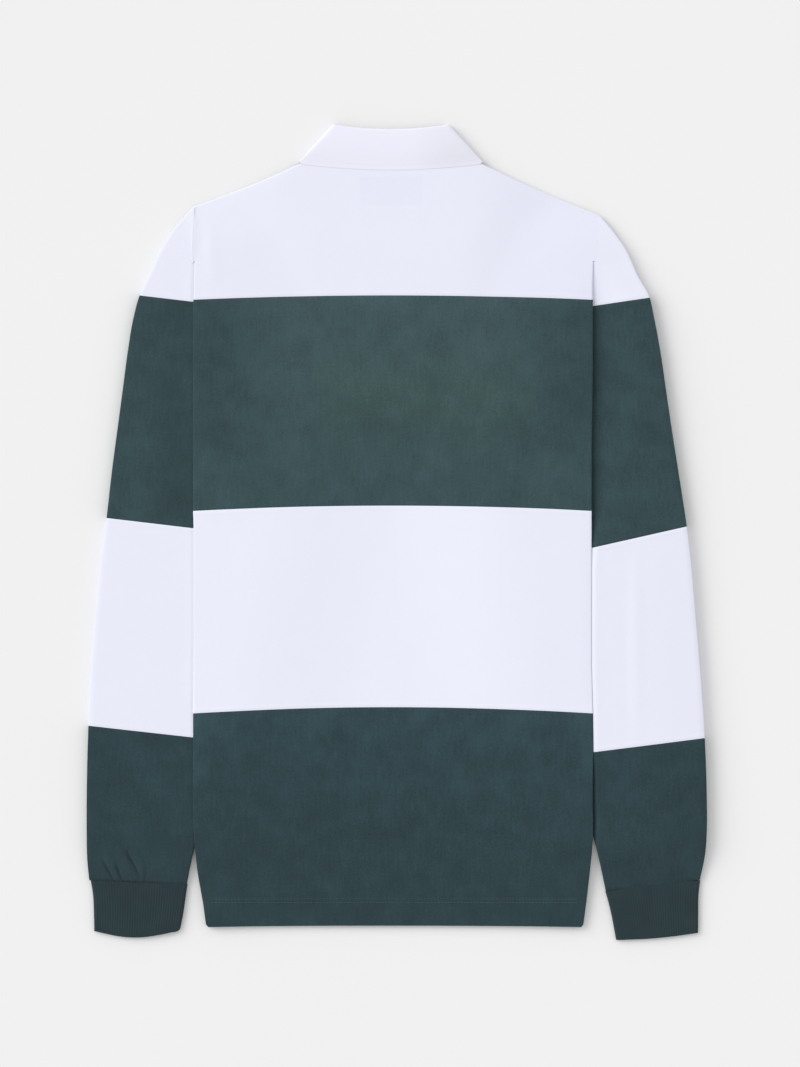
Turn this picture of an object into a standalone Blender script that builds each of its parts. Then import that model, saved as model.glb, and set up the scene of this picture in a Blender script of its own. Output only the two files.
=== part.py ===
"""Rugby shirt laid flat, face down: the construction solids.

The shirt lies on the floor with its back up. +X is to the right, +Y runs from the hem to the collar
and +Z is up. The body is a flattened tube of four blocks of cloth. Its sides are folded, and the back
blocks turn under to side seams on the underside. The sleeves are flattened tubes beside the body, and
their inner parts lie under it, so the body is lifted there. The collar is one piece, folded at its
roll line: the stand rises from the neckline and the leaf turns down over it, with its points in front.

Sizes are in millimetres until a point is made. X and Y are measured from the hem at the body's middle,
and the finished shirt is moved so that its box is centred on the origin.
"""

import math

import bmesh
import bpy
from mathutils import Vector

MM = 0.001

# Cloth
CLOTH = 1.2             # wall of the jersey
COLLAR_CLOTH = 1.6      # wall of the doubled collar cloth
RIB_CLOTH = 1.8         # wall of the ribbed cuff
PLY = 2.0               # from one lying layer's middle to the next
SEAM = 0.3              # left open between two pieces
FOLD = PLY / 2          # radius of a pressed fold's middle

# Body
BODY_HALF = 183.6       # middle to the folded side
SIDE_SEAM = 143.0       # middle to the side seam on the underside
HEM_TAPER = 9.8         # the folded sides lean in by this at the hem
TAPER_RUN = 100.0       # and are straight above this height
TAPER_POWER = 1.35
HEM_CORNER = (1.5, 3.0)     # across and up, cut off the corner between side and hem
HEM_DIP = 1.2           # the hem's middle stands this far above its corners
SHOULDER_ROUND = 0.75   # radius of the turned edge at the shoulder seam
TURN_RUN = 15.0         # the turned edge begins flat at the neck and is whole after this length
SHOULDER_SLOPE = 1.1    # a length along Y for one square to the sloping shoulder
SIDE_TOP = 611.0        # the side folds end here, at the underarm
SHOULDER_START = 0.4    # the shoulder seam begins this far below the neckline's side
SHOULDER_DROOP = 1.5    # and sags by this halfway to the tip
SHOULDER_TIP_LEFT = (184.5, 661.5)
SHOULDER_TIP_RIGHT = (189.5, 653.4)

# The body's block seams: (height at the sides, height at the middle)
YOKE_SEAM = (576.0, 580.5)
WHITE_SEAM = (382.4, 387.3)
GREEN_SEAM = (196.0, 201.5)

# Collar, measured from its own middle line
COLLAR_MIDDLE = -2.7
COLLAR_TOP = 736.6      # roll line's corners
COLLAR_TOP_DIP = 3.8    # roll line's middle lies this far below its corners
ROLL_DEPTH = 2.2        # from the outline's top down to where the collar's flat runs meet the roll
COLLAR_TOP_HALF = 50.4
LEAF_SIDE = (81.95, 700.3)
LEAF_EDGE_MIDDLE = 695.1
LEAF_BULGE = (5.0, -2.0)    # the leaf's edge swells by this between side and point
NECK_BACK = 701.0       # back neckline
NECK_BACK_RISE = 1.6    # the back neckline climbs by this to its sides
STAND_RISE = 0.3        # and the stand's edge by this much more
NECK_CURVE = 6          # how late the climb comes
NECK_SIDE = (79.4, 703.0)
NECK_FRONT = 622.3      # front neckline's lowest point
STAND_END = 1.0         # middle to the stand's front end
ROLL_END = (5.0, 650.0)
LEAF_POINT = (47.0, 605.4)
WING_MIDDLE = COLLAR_CLOTH / 2
COLLAR_RAISE = 2.3      # the body's lift where the collar's front lies under it
# Half the outline round the collar's front, measured from its middle
COLLAR_FRONT_HALF = ((18.0, 490.0), (52.0, 598.0), (88.0, 706.0), (60.0, 745.0))

# Placket and buttons
PLACKET_HALF = 15.0
PLACKET_FOOT = 472.0
BUTTON_RADIUS = 6.0
BUTTON_HEIGHT = 2.0
BUTTON_EDGE = 0.4
BUTTON_ROWS = (608.0, 560.0, 512.0)

# Sleeves under the body
SLEEVE_RAISE = 3.9      # the body's lift where a sleeve lies under it
RAISE_MARGIN = 6.0      # the lift is whole this far round what lies under
RAISE_RUN = 30.0        # and fades over this length
SIDE_RUN = 20.0         # the folded side climbs over the sleeve in this length
BESIDE_BODY = 20.0      # what lies under counts as reaching this far past the body's side
BELOW_SLEEVE = 4.0      # and this far past the place where the sleeve comes out
ABOVE_SLEEVE = 2.0

# Cuffs
CUFF_PLY = 2.2
RIB_PITCH = 3.0
RIB_RISE = 0.25

# A sleeve's rings from the armhole to the cuff: (seam, outer x, outer y, inner x, inner y). The seam
# column names the piece below a seam, and is empty between seams. Outer is the sleeve's outline away
# from the body. Inner is the end of the flat run beside or under the body, a fold's depth inside the
# outline. x is measured outwards from the body's middle line, and y up from the hem.
LEFT_SLEEVE = (
    ("armhole", 184.4, 661.4, 185.5, 614.5),
    ("", 189.8, 655.8, 185.8, 607.0),
    ("", 196.0, 649.0, 185.8, 601.0),
    ("", 203.3, 640.3, 185.7, 595.0),
    ("", 209.0, 631.0, 185.4, 589.0),
    ("", 214.4, 621.9, 184.2, 584.0),
    ("", 222.6, 603.5, 181.0, 578.5),
    ("green", 234.0, 580.0, 176.0, 572.6),
    ("", 240.1, 557.5, 166.0, 556.0),
    ("", 244.7, 529.9, 149.0, 528.0),
    ("", 250.0, 490.0, 130.0, 486.0),
    ("", 254.4, 457.0, 121.0, 448.0),
    ("", 259.4, 419.5, 122.0, 405.0),
    ("white", 264.4, 375.4, 132.7, 359.8),
    ("", 269.6, 336.7, 139.5, 318.0),
    ("", 275.1, 281.5, 148.0, 262.0),
    ("", 279.4, 226.3, 157.5, 208.0),
    ("green", 281.1, 184.7, 165.0, 171.8),
    ("", 282.3, 143.5, 172.0, 130.0),
    ("", 282.5, 88.3, 182.0, 84.0),
    ("", 281.2, 60.0, 188.6, 56.0),
    ("cuff", 278.8, 42.3, 192.1, 38.6),
)
RIGHT_SLEEVE = (
    ("armhole", 189.4, 653.4, 185.5, 614.5),
    ("", 194.5, 647.8, 185.8, 607.0),
    ("", 200.6, 640.3, 185.8, 601.0),
    ("", 206.5, 632.0, 185.7, 595.0),
    ("", 211.5, 625.0, 185.4, 589.0),
    ("", 216.0, 616.5, 184.2, 584.0),
    ("", 223.5, 599.0, 181.0, 577.5),
    ("green", 235.1, 577.8, 175.0, 568.8),
    ("", 239.2, 559.4, 165.5, 553.0),
    ("", 244.7, 529.9, 148.5, 524.0),
    ("", 250.9, 488.0, 130.0, 482.0),
    ("", 256.5, 450.0, 121.0, 438.0),
    ("", 261.3, 419.5, 119.0, 400.0),
    ("white", 269.2, 367.5, 122.5, 334.5),
    ("", 272.8, 336.7, 127.5, 300.0),
    ("", 277.6, 281.5, 139.0, 245.0),
    ("", 282.2, 226.3, 152.0, 196.0),
    ("green", 285.7, 173.5, 164.0, 158.0),
    ("", 287.6, 115.9, 174.0, 114.0),
    ("", 287.6, 88.3, 182.5, 83.0),
    ("", 285.6, 62.0, 190.0, 58.0),
    ("cuff", 281.5, 42.3, 196.3, 32.2),
)
LEFT_CUFF_END = ((276.3, -8.0), (197.8, -9.0))
RIGHT_CUFF_END = ((278.8, -9.0), (203.8, -11.5))

# Detail
FOLD_STEPS = 4          # facets round a pressed fold
LEAF_FOLD_STEPS = 6     # facets round the collar's side
RUN_STEPS = 5           # facets across a sleeve's flat run
PLACKET_ROWS = 6
BUTTON_SIDES = 24
# Shares of the lowest block's height at which its rows lie, close together at the hem's corner
HEM_ROWS = (0.0, 0.015, 0.055, 0.12, 0.21, 0.32, 0.45, 0.6, 0.8, 1.0)
YOKE_STEPS = (5, 4)     # a yoke's rows below and above the underarm
YOKE_COLUMNS = (15.3, 31.0, 47.0, 63.0, 73.0, 78.5, 80.6, 88.0, 96.0, 109.0, 121.0, 132.0)
BLOCK_COLUMNS = (15.3, 47.0, 80.0, 96.0, 109.0, 121.0, 132.0)
SHOULDER_COLUMN = 80.6  # the first column that ends at the shoulder and not at the neckline
SEAM_COLUMN = SIDE_SEAM - SEAM / 2
OUTER_COLUMNS = (155.0, 168.0)
BACK_ROUND = 7          # collar points across half the back

WHITE = ("white jersey", (0.80, 0.82, 0.90, 1.0), 0.85)
GREEN = ("dark green jersey", (0.045, 0.078, 0.085, 1.0), 0.85)
RIB = ("dark green rib", (0.030, 0.045, 0.052, 1.0), 0.9)
COLLAR_WHITE = ("white collar cloth", (0.82, 0.82, 0.90, 1.0), 0.8)
BUTTON_WHITE = ("white rubber", (0.75, 0.75, 0.75, 1.0), 0.5)


def lerp(a, b, share):
    """A value between a and b."""
    return a + (b - a) * share


def ease(share):
    """A soft step from 0 to 1."""
    t = min(max(share, 0.0), 1.0)
    return t * t * (3.0 - 2.0 * t)


def seam_height(seam, x):
    """A block seam's height at x: a shallow arch over the body."""
    side, middle = seam
    return middle + (side - middle) * (x / BODY_HALF) ** 2


def hem_height(x):
    """The hem's height at x."""
    return HEM_DIP * (1.0 - (x / BODY_HALF) ** 2)


def shoulder_tip(side):
    """The shoulder tip's distance from the middle and its height."""
    return SHOULDER_TIP_RIGHT if side > 0 else SHOULDER_TIP_LEFT


def flat_half(side, y):
    """From the middle line to where the flat run ends, a fold's depth inside the body's edge."""
    above_hem = max(y, 0.0)
    edge = BODY_HALF - HEM_TAPER * max(1.0 - above_hem / TAPER_RUN, 0.0) ** TAPER_POWER
    edge -= HEM_CORNER[0] * max(1.0 - above_hem / HEM_CORNER[1], 0.0)
    if y > SIDE_TOP:
        tip_x, tip_y = shoulder_tip(side)
        edge = lerp(BODY_HALF, tip_x, (y - SIDE_TOP) / (tip_y - SIDE_TOP))
    return edge - FOLD - CLOTH / 2


def front_neck(x, gap=0.0):
    """The front neckline's height at x from the collar's middle, or a gap outside it.

    The neckline is the lower half of an ellipse.
    """
    across = max(abs(x) - STAND_END, 0.0) / (NECK_SIDE[0] - STAND_END + gap)
    depth = NECK_SIDE[1] - NECK_FRONT + gap
    return NECK_SIDE[1] - depth * math.sqrt(max(1.0 - across ** 2, 0.0))


def back_neck(x, gap=0.0):
    """The back neckline's height at x from the collar's middle, or a gap below it."""
    return NECK_BACK - gap + NECK_BACK_RISE * min(abs(x) / NECK_SIDE[0], 1.0) ** NECK_CURVE


def shoulder_height(x):
    """The shoulder's outline at x, from the collar's side to the tip, with a slight droop between."""
    side = 1 if x > 0 else -1
    tip_x, tip_y = shoulder_tip(side)
    neck_x, neck_y = NECK_SIDE[0] + side * COLLAR_MIDDLE, NECK_SIDE[1] - SHOULDER_START
    share = (abs(x) - neck_x) / (tip_x - neck_x)
    return lerp(neck_y, tip_y, share) - SHOULDER_DROOP * math.sin(math.pi * min(max(share, 0.0), 1.0))


def side_of_segment(point, start, end):
    """How far a point lies from a segment."""
    run = end - start
    share = min(max((point - start).dot(run) / run.length_squared, 0.0), 1.0)
    return (point - start - run * share).length


def outside(point, corners):
    """How far a point lies outside a closed outline, and 0 within it."""
    inside = False
    nearest = math.inf
    for i, corner in enumerate(corners):
        previous = corners[i - 1]
        nearest = min(nearest, side_of_segment(point, previous, corner))
        if (corner.y > point.y) != (previous.y > point.y):
            cross = lerp(corner.x, previous.x, (point.y - corner.y) / (previous.y - corner.y))
            inside = inside != (point.x < cross)
    return 0.0 if inside else nearest


def sleeve_under_body(rows, side):
    """The outline of the part of a sleeve that lies under the body."""
    depth = FOLD + CLOTH / 2
    inner = [Vector((side * (row[3] - depth), row[4])) for row in rows if row[3] - depth < BODY_HALF]
    low = Vector((side * (BODY_HALF + BESIDE_BODY), inner[-1].y - BELOW_SLEEVE))
    high = Vector((side * (BODY_HALF + BESIDE_BODY), inner[0].y + ABOVE_SLEEVE))
    return inner + [low, high]


UNDER_LEFT = sleeve_under_body(LEFT_SLEEVE[3:], -1)
UNDER_RIGHT = sleeve_under_body(RIGHT_SLEEVE[3:], 1)
UNDER_COLLAR = [Vector((COLLAR_MIDDLE + x, y)) for x, y in COLLAR_FRONT_HALF]
UNDER_COLLAR += [Vector((COLLAR_MIDDLE - x, y)) for x, y in reversed(COLLAR_FRONT_HALF)]


def lift(x, y):
    """How far the body lies above the floor over what is under it."""
    point = Vector((x, y))
    over_sleeve = min(outside(point, UNDER_LEFT), outside(point, UNDER_RIGHT))
    sleeve = SLEEVE_RAISE * (1.0 - ease((over_sleeve - RAISE_MARGIN) / RAISE_RUN))
    sleeve *= ease((SIDE_TOP - y) / SIDE_RUN)
    collar = COLLAR_RAISE * (1.0 - ease((outside(point, UNDER_COLLAR) - RAISE_MARGIN) / RAISE_RUN))
    return max(sleeve, collar)


def point_at(x, y, z):
    """A point in metres from one in millimetres."""
    return Vector((x * MM, y * MM, z * MM))


def cloth_material(finish):
    """A plain cloth finish, made once and shared."""
    name, colour, roughness = finish
    material = bpy.data.materials.get(name)
    if material is None:
        material = bpy.data.materials.new(name)
        material.use_nodes = True
        shader = material.node_tree.nodes["Principled BSDF"]
        shader.inputs["Base Color"].default_value = colour
        shader.inputs["Roughness"].default_value = roughness
        shader.inputs["Metallic"].default_value = 0.0
    return material


def make_object(name, bm, finish):
    """An object with the mesh, smooth shading and its finish."""
    mesh = bpy.data.meshes.new(name)
    bmesh.ops.recalc_face_normals(bm, faces=bm.faces)
    bm.to_mesh(mesh)
    bm.free()
    mesh.shade_smooth()
    mesh.materials.append(cloth_material(finish))
    item = bpy.data.objects.new(name, mesh)
    bpy.context.collection.objects.link(item)
    return item


def sheet(name, strips, finish, wall=CLOTH):
    """A cloth wall from its middle surface.

    Each strip is a list of columns, and each column is a list of points. Strips that share an edge
    share its points, because equal points are joined.
    """
    bm = bmesh.new()
    made = {}

    def vertex(point):
        key = tuple(round(value, 4) for value in point)
        if key not in made:
            made[key] = bm.verts.new(point_at(*point))
        return made[key]

    for columns in strips:
        for left, right in zip(columns, columns[1:]):
            for low in range(len(left) - 1):
                corners = [left[low], right[low], right[low + 1], left[low + 1]]
                verts = [vertex(corner) for corner in corners]
                bm.faces.new(list(dict.fromkeys(verts)))
    item = make_object(name, bm, finish)
    solidify = item.modifiers.new("Cloth wall", "SOLIDIFY")
    solidify.thickness = wall * MM
    solidify.offset = 0.0
    solidify.use_even_offset = True
    return item


# ---------------------------------------------------------------- body


def back_middle(x, y):
    """The back layer's middle height."""
    return CLOTH / 2 + PLY + lift(x, y)


def front_middle(x, y):
    """The front layer's middle height."""
    return CLOTH / 2 + lift(x, y)


def fit_column(x, y):
    """A column's x at height y.

    Columns near the middle are centred on the collar, and those near the side follow the body's edge.
    """
    side = 1 if x > 0 else -1
    limit = flat_half(side, SIDE_TOP)
    outwards = max(0.0, (abs(x) - SIDE_SEAM - SEAM) / (limit - SIDE_SEAM - SEAM))
    inwards = 1.0 - ease((abs(x) - SHOULDER_COLUMN) / (SEAM_COLUMN - SHOULDER_COLUMN))
    edge = flat_half(side, min(y, shoulder_tip(side)[1])) - limit
    return x + COLLAR_MIDDLE * inwards + side * edge * outwards


def body_columns(inner_columns, limit):
    """The columns of one half of the body, from the placket out to a limit."""
    return [x for x in (*inner_columns, SEAM_COLUMN, *OUTER_COLUMNS) if x < limit] + [limit]


def rows_between(low, high, count):
    """Shares from low to high, count steps."""
    return [lerp(low, high, i / count) for i in range(count + 1)]


def fold_columns(side, heights, top_slant=False):
    """The folded side: round from the back layer to the front layer, and in to the side seam."""
    columns = []
    for step in range(FOLD_STEPS + 1):
        angle = math.pi * step / FOLD_STEPS
        column = []
        for row, y in enumerate(heights):
            y -= SEAM * step if top_slant and row == len(heights) - 1 else 0.0
            half = flat_half(side, y)
            raise_ = lift(side * half, y)
            x = half + FOLD * math.sin(angle)
            column.append((side * x, y, CLOTH / 2 + FOLD + FOLD * math.cos(angle) + raise_))
        columns.append(column)
    drop = SEAM * FOLD_STEPS if top_slant else 0.0
    for x in (*reversed(OUTER_COLUMNS), SIDE_SEAM + SEAM / 2):
        column = []
        for row, y in enumerate(heights):
            y -= drop if row == len(heights) - 1 else 0.0
            across = fit_column(side * x, y)
            column.append((across, y, front_middle(across, y)))
        columns.append(column)
    return columns


def block_heights(x, low, high, shares):
    """A block's row heights at x, between two seams given as functions of x."""
    return [lerp(low(x), high(x), share) for share in shares]


def back_block(name, low, high, shares, finish):
    """A block of the back below the underarm: its flat run and both folded sides."""
    limit = flat_half(1, SIDE_TOP)
    half = body_columns(BLOCK_COLUMNS, limit)
    columns = []
    for x in [-value for value in reversed(half)] + half:
        heights = block_heights(x, low, high, shares)
        column = []
        for y in heights:
            across = fit_column(x, y)
            column.append((across, y, back_middle(across, y)))
        columns.append(column)
    strips = [columns]
    for side in (-1, 1):
        strips.append(fold_columns(side, block_heights(side * limit, low, high, shares)))
    return sheet(name, strips, finish)


def front_block(name, low, high, shares, slot_row, finish):
    """A block of the front between the side seams, with a slot for the placket above slot_row."""
    half = body_columns(BLOCK_COLUMNS, SEAM_COLUMN)
    halves = {}
    for side in (-1, 1):
        columns = []
        for x in half:
            column = []
            for y in block_heights(side * x, low, high, shares):
                across = fit_column(side * x, y)
                column.append((across, y, front_middle(across, y)))
            columns.append(column)
        halves[side] = columns
    bridge = [halves[side][0][: slot_row + 1] for side in (-1, 1)]
    return sheet(name, [halves[-1], halves[1], bridge], finish)


def yoke_column(x, from_y, steps, neck, middle, direction):
    """A yoke's column from from_y to the neckline, or to the shoulder, where it rounds to the seam.

    direction is -1 on the back, whose edge turns down, and 1 on the front, whose edge turns up.
    """
    relative = fit_column(x, from_y) - COLLAR_MIDDLE
    at_neck = abs(x) <= SHOULDER_COLUMN
    whole_turn = math.pi / 2 * min(1.0, (abs(x) - SHOULDER_COLUMN) / TURN_RUN)
    if at_neck:
        edge = neck(relative, SEAM) if abs(x) < SHOULDER_COLUMN else NECK_SIDE[1] - 2 * FOLD
        flat = edge - FOLD
    else:
        edge = shoulder_height(fit_column(x, SHOULDER_TIP_LEFT[1])) - SHOULDER_SLOPE * CLOTH / 2
        flat = edge - SHOULDER_SLOPE * SHOULDER_ROUND * math.sin(whole_turn)
    column = []
    for share in rows_between(0.0, 1.0, steps):
        y = lerp(from_y, flat, share)
        across = fit_column(x, y)
        column.append((across, y, middle(across, y)))
    top = column[-1][2]
    if at_neck:
        ends = [(lerp(flat, edge, share), top) for share in (0.25, 0.5, 0.75, 1.0)]
    else:
        ends = []
        for share in (1 / 3, 2 / 3, 1.0):
            turn = whole_turn * share
            y = flat + SHOULDER_SLOPE * SHOULDER_ROUND * math.sin(turn)
            ends.append((y, top + direction * SHOULDER_ROUND * (1.0 - math.cos(turn))))
        last = FOLD - SEAM / 2 - SHOULDER_ROUND
        y, z = ends[-1]
        ends.append((y + last * math.cos(whole_turn), z + direction * last * math.sin(whole_turn)))
    return column + [(fit_column(x, y), y, z) for y, z in ends]


def back_yoke():
    """The back's top block: folded sides below the underarm, armhole edges above it."""
    limit = flat_half(1, SIDE_TOP)
    half = body_columns(YOKE_COLUMNS, limit)
    columns = []
    low_rows = {}
    for x in [-value for value in reversed(half)] + half:
        start = seam_height(YOKE_SEAM, x) + SEAM / 2
        low = [lerp(start, SIDE_TOP, share) for share in rows_between(0.0, 1.0, YOKE_STEPS[0])]
        column = [(fit_column(x, y), y, back_middle(fit_column(x, y), y)) for y in low[:-1]]
        columns.append(column + yoke_column(x, SIDE_TOP, YOKE_STEPS[1], back_neck, back_middle, -1))
        low_rows[x] = low
    strips = [columns]
    for side in (-1, 1):
        strips.append(fold_columns(side, low_rows[side * limit], top_slant=True))
    return sheet("back_yoke", strips, WHITE)


def front_yoke(side, name):
    """One half of the front's top block, from the placket to the side seam and the armhole."""
    limit = flat_half(1, SIDE_TOP)
    underarm = SIDE_TOP - SEAM * (FOLD_STEPS - 1)
    inner, outer = [], []
    for x in body_columns(YOKE_COLUMNS, limit):
        start = seam_height(YOKE_SEAM, x) + SEAM / 2
        low = [lerp(start, underarm, share) for share in rows_between(0.0, 1.0, YOKE_STEPS[0])]
        low_points = [(fit_column(side * x, y), y, front_middle(fit_column(side * x, y), y)) for y in low]
        high = yoke_column(side * x, underarm, YOKE_STEPS[1], front_neck, front_middle, 1)
        if x <= SEAM_COLUMN:
            inner.append(low_points[:-1] + high)
        if x >= SEAM_COLUMN:
            outer.append(high)
    return sheet(name, [inner, outer], WHITE)


def placket():
    """The strip set into the front's slot."""
    columns = []
    for x in (-PLACKET_HALF, -PLACKET_HALF / 2, 0.0, PLACKET_HALF / 2, PLACKET_HALF):
        column = []
        for share in rows_between(0.0, 1.0, PLACKET_ROWS):
            y = lerp(PLACKET_FOOT, front_neck(x) - SEAM, share)
            across = COLLAR_MIDDLE + x
            column.append((across, y, front_middle(across, y)))
        columns.append(column)
    return sheet("placket", [columns], WHITE)


def buttons():
    """The placket's buttons, under it on the floor."""
    for number, y in enumerate(BUTTON_ROWS, start=1):
        bm = bmesh.new()
        bmesh.ops.create_cone(
            bm, cap_ends=True, segments=BUTTON_SIDES, radius1=BUTTON_RADIUS * MM,
            radius2=BUTTON_RADIUS * MM, depth=BUTTON_HEIGHT * MM,
        )
        rims = [edge for edge in bm.edges if abs(edge.verts[0].co.z - edge.verts[1].co.z) < MM / 10]
        bmesh.ops.bevel(bm, geom=rims, offset=BUTTON_EDGE * MM, segments=1, affect="EDGES")
        bmesh.ops.translate(bm, verts=bm.verts, vec=point_at(COLLAR_MIDDLE, y, BUTTON_HEIGHT / 2))
        make_object(f"button_{number}", bm, BUTTON_WHITE)


def body():
    """All the body's blocks, back and front."""
    def below(seam):
        return lambda x: seam_height(seam, x) - SEAM / 2

    def above(seam):
        return lambda x: seam_height(seam, x) + SEAM / 2

    foot = (PLACKET_FOOT - SEAM - WHITE_SEAM[1]) / (YOKE_SEAM[1] - WHITE_SEAM[1])
    blocks = (
        ("green_lower", hem_height, below(GREEN_SEAM), HEM_ROWS, len(HEM_ROWS) - 1, GREEN),
        ("white_middle", above(GREEN_SEAM), below(WHITE_SEAM), rows_between(0.0, 1.0, 5), 5, WHITE),
        ("green_upper", above(WHITE_SEAM), below(YOKE_SEAM),
         rows_between(0.0, foot, 3) + rows_between(foot, 1.0, 4)[1:], 3, GREEN),
    )
    for block, low, high, shares, slot_row, finish in blocks:
        back_block(f"back_{block}", low, high, shares, finish)
        front_block(f"front_{block}", low, high, shares, slot_row, finish)
    back_yoke()
    front_yoke(-1, "front_yoke_left")
    front_yoke(1, "front_yoke_right")
    placket()
    buttons()


# ---------------------------------------------------------------- collar


def collar_side(share):
    """The end of the collar's flat run, from the roll line's corner down to the leaf's edge."""
    top = Vector((COLLAR_TOP_HALF, COLLAR_TOP - ROLL_DEPTH))
    return top.lerp(Vector(LEAF_SIDE), share)


def collar_stations():
    """The collar's lines from the neckline, over the roll line and down to the leaf's edge.

    Each is (stand or leaf, share along it, turn round the roll in degrees).
    """
    stand = [("stand", share, 0.0) for share in (0.0, 0.5, 1.0)]
    roll = [("roll", 1.0, turn) for turn in (45.0, 90.0, 135.0)]
    leaf = [("leaf", share, 180.0) for share in (0.0, 0.33, 0.67, 1.0)]
    return stand + roll + leaf


def quarter_curve(start, end, share):
    """A quarter ellipse that leaves start downwards and reaches end level."""
    angle = share * math.pi / 2
    return Vector((lerp(end[0], start[0], math.cos(angle)), lerp(start[1], end[1], math.sin(angle))))


def collar_front_shares():
    """Shares along the front neckline at which the yoke's columns meet it, from the side to the end."""
    reach = NECK_SIDE[0] - STAND_END
    meets = [math.acos((x - STAND_END) / reach) for x in YOKE_COLUMNS if x < NECK_SIDE[0]]
    return [0.0] + [angle / (math.pi / 2) for angle in reversed(meets)] + [1.0]


def collar_back_point(part, share, across):
    """A point of the collar's back, across from -1 to 1."""
    dip = ROLL_DEPTH + COLLAR_TOP_DIP * (1.0 - across ** 2)
    top = Vector((across * COLLAR_TOP_HALF, COLLAR_TOP - dip))
    if part == "stand":
        rise = STAND_RISE * across ** NECK_CURVE
        neck = Vector((across * NECK_SIDE[0], back_neck(across * NECK_SIDE[0]) + rise))
        return neck.lerp(top, share)
    if part == "roll":
        return top
    edge_y = lerp(LEAF_EDGE_MIDDLE, LEAF_SIDE[1], across ** 2)
    return top.lerp(Vector((across * LEAF_SIDE[0], edge_y)), share)


def collar_front_point(part, share, along):
    """A point of the collar's right front in its own half, along from the side to the end."""
    roll = quarter_curve((COLLAR_TOP_HALF, COLLAR_TOP - ROLL_DEPTH), ROLL_END, along)
    if part == "stand":
        neck = quarter_curve(NECK_SIDE, (STAND_END, NECK_FRONT), along)
        return neck.lerp(roll, share)
    if part == "roll":
        return roll
    edge = Vector(LEAF_SIDE).lerp(Vector(LEAF_POINT), along)
    edge += Vector(LEAF_BULGE) * math.sin(math.pi * along)
    return roll.lerp(edge, share)


def collar_heading(along):
    """The way the front's roll line faces, into the neck's opening, along from the side to the end."""
    ahead = collar_front_point("roll", 1.0, min(along + 0.02, 1.0))
    behind = collar_front_point("roll", 1.0, max(along - 0.02, 0.0))
    run = (ahead - behind).normalized()
    return Vector((run.y, -run.x))


def collar_line(part, share, turn):
    """One line of the collar's right half: (place, height, way out of the neck, way the roll faces)."""
    front_z = CLOTH / 2 + COLLAR_RAISE
    back_z = front_z + PLY
    back_roll = PLY / 2
    front_roll = (front_z - WING_MIDDLE) / 2
    top = back_z + back_roll * (1.0 - math.cos(turn))
    low = front_z - front_roll * (1.0 - math.cos(turn))
    radius = (top - low) / 2
    side_run = collar_side(1.0) - collar_side(0.0)
    side_out = Vector((-side_run.y, side_run.x)).normalized()
    bulge = math.sin(turn)
    line = []
    for i in range(BACK_ROUND):
        heading = Vector((0.0, 1.0))
        flat = collar_back_point(part, share, i / (BACK_ROUND - 1))
        line.append((flat + heading * bulge * back_roll, top, Vector((0.0, 0.0, 1.0)), heading))
    end = collar_back_point(part, share, 1.0)
    start = collar_front_point(part, share, 0.0)
    for step in range(1, LEAF_FOLD_STEPS):
        mix = step / LEAF_FOLD_STEPS
        turned = math.pi * mix
        heading = Vector((0.0, 1.0)).lerp(collar_heading(0.0), mix).normalized()
        flat = end.lerp(start, mix) + side_out * radius * math.sin(turned)
        flat += heading * bulge * lerp(back_roll, front_roll, mix)
        way = Vector((side_out.x * math.sin(turned), side_out.y * math.sin(turned), math.cos(turned)))
        line.append((flat, (top + low) / 2 + radius * math.cos(turned), way, heading))
    for along in collar_front_shares():
        heading = collar_heading(along)
        flat = collar_front_point(part, share, along)
        line.append((flat + heading * bulge * front_roll, low, Vector((0.0, 0.0, -1.0)), heading))
    return line


def collar():
    """The collar in one piece: stand, roll and leaf, all round the neck."""
    skins = []
    for skin in (1, -1):
        rows = []
        for part, share, degrees in collar_stations():
            turn = math.radians(degrees)
            row = []
            for flat, height, way, heading in collar_line(part, share, turn):
                normal = way * math.cos(turn) - heading.to_3d() * math.sin(turn)
                point = Vector((flat.x, flat.y, height)) + normal * skin * COLLAR_CLOTH / 2
                row.append(tuple(point))
            right = [(COLLAR_MIDDLE + x, y, z) for x, y, z in row]
            left = [(COLLAR_MIDDLE - x, y, z) for x, y, z in reversed(row[1:])]
            rows.append(left + right)
        skins.append(rows)
    bm = bmesh.new()
    grids = [[[bm.verts.new(point_at(*point)) for point in row] for row in rows] for rows in skins]
    for rows in grids:
        for low_row, high_row in zip(rows, rows[1:]):
            for i in range(len(low_row) - 1):
                bm.faces.new((low_row[i], low_row[i + 1], high_row[i + 1], high_row[i]))
    borders = [
        (rows[0], [row[-1] for row in rows], rows[-1], [row[0] for row in rows]) for rows in grids
    ]
    for near, far in zip(*borders):
        for i in range(len(near) - 1):
            bm.faces.new((near[i], near[i + 1], far[i + 1], far[i]))
    return make_object("collar", bm, COLLAR_WHITE)


# ---------------------------------------------------------------- sleeves


def outline_normals(points, towards):
    """Unit normals along a line of points, each pointing to the side that towards lies on."""
    normals = []
    for i, point in enumerate(points):
        run = points[min(i + 1, len(points) - 1)] - points[max(i - 1, 0)]
        normal = Vector((run.y, -run.x)).normalized()
        normals.append(normal if normal.dot(towards[i] - point) > 0 else -normal)
    return normals


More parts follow.
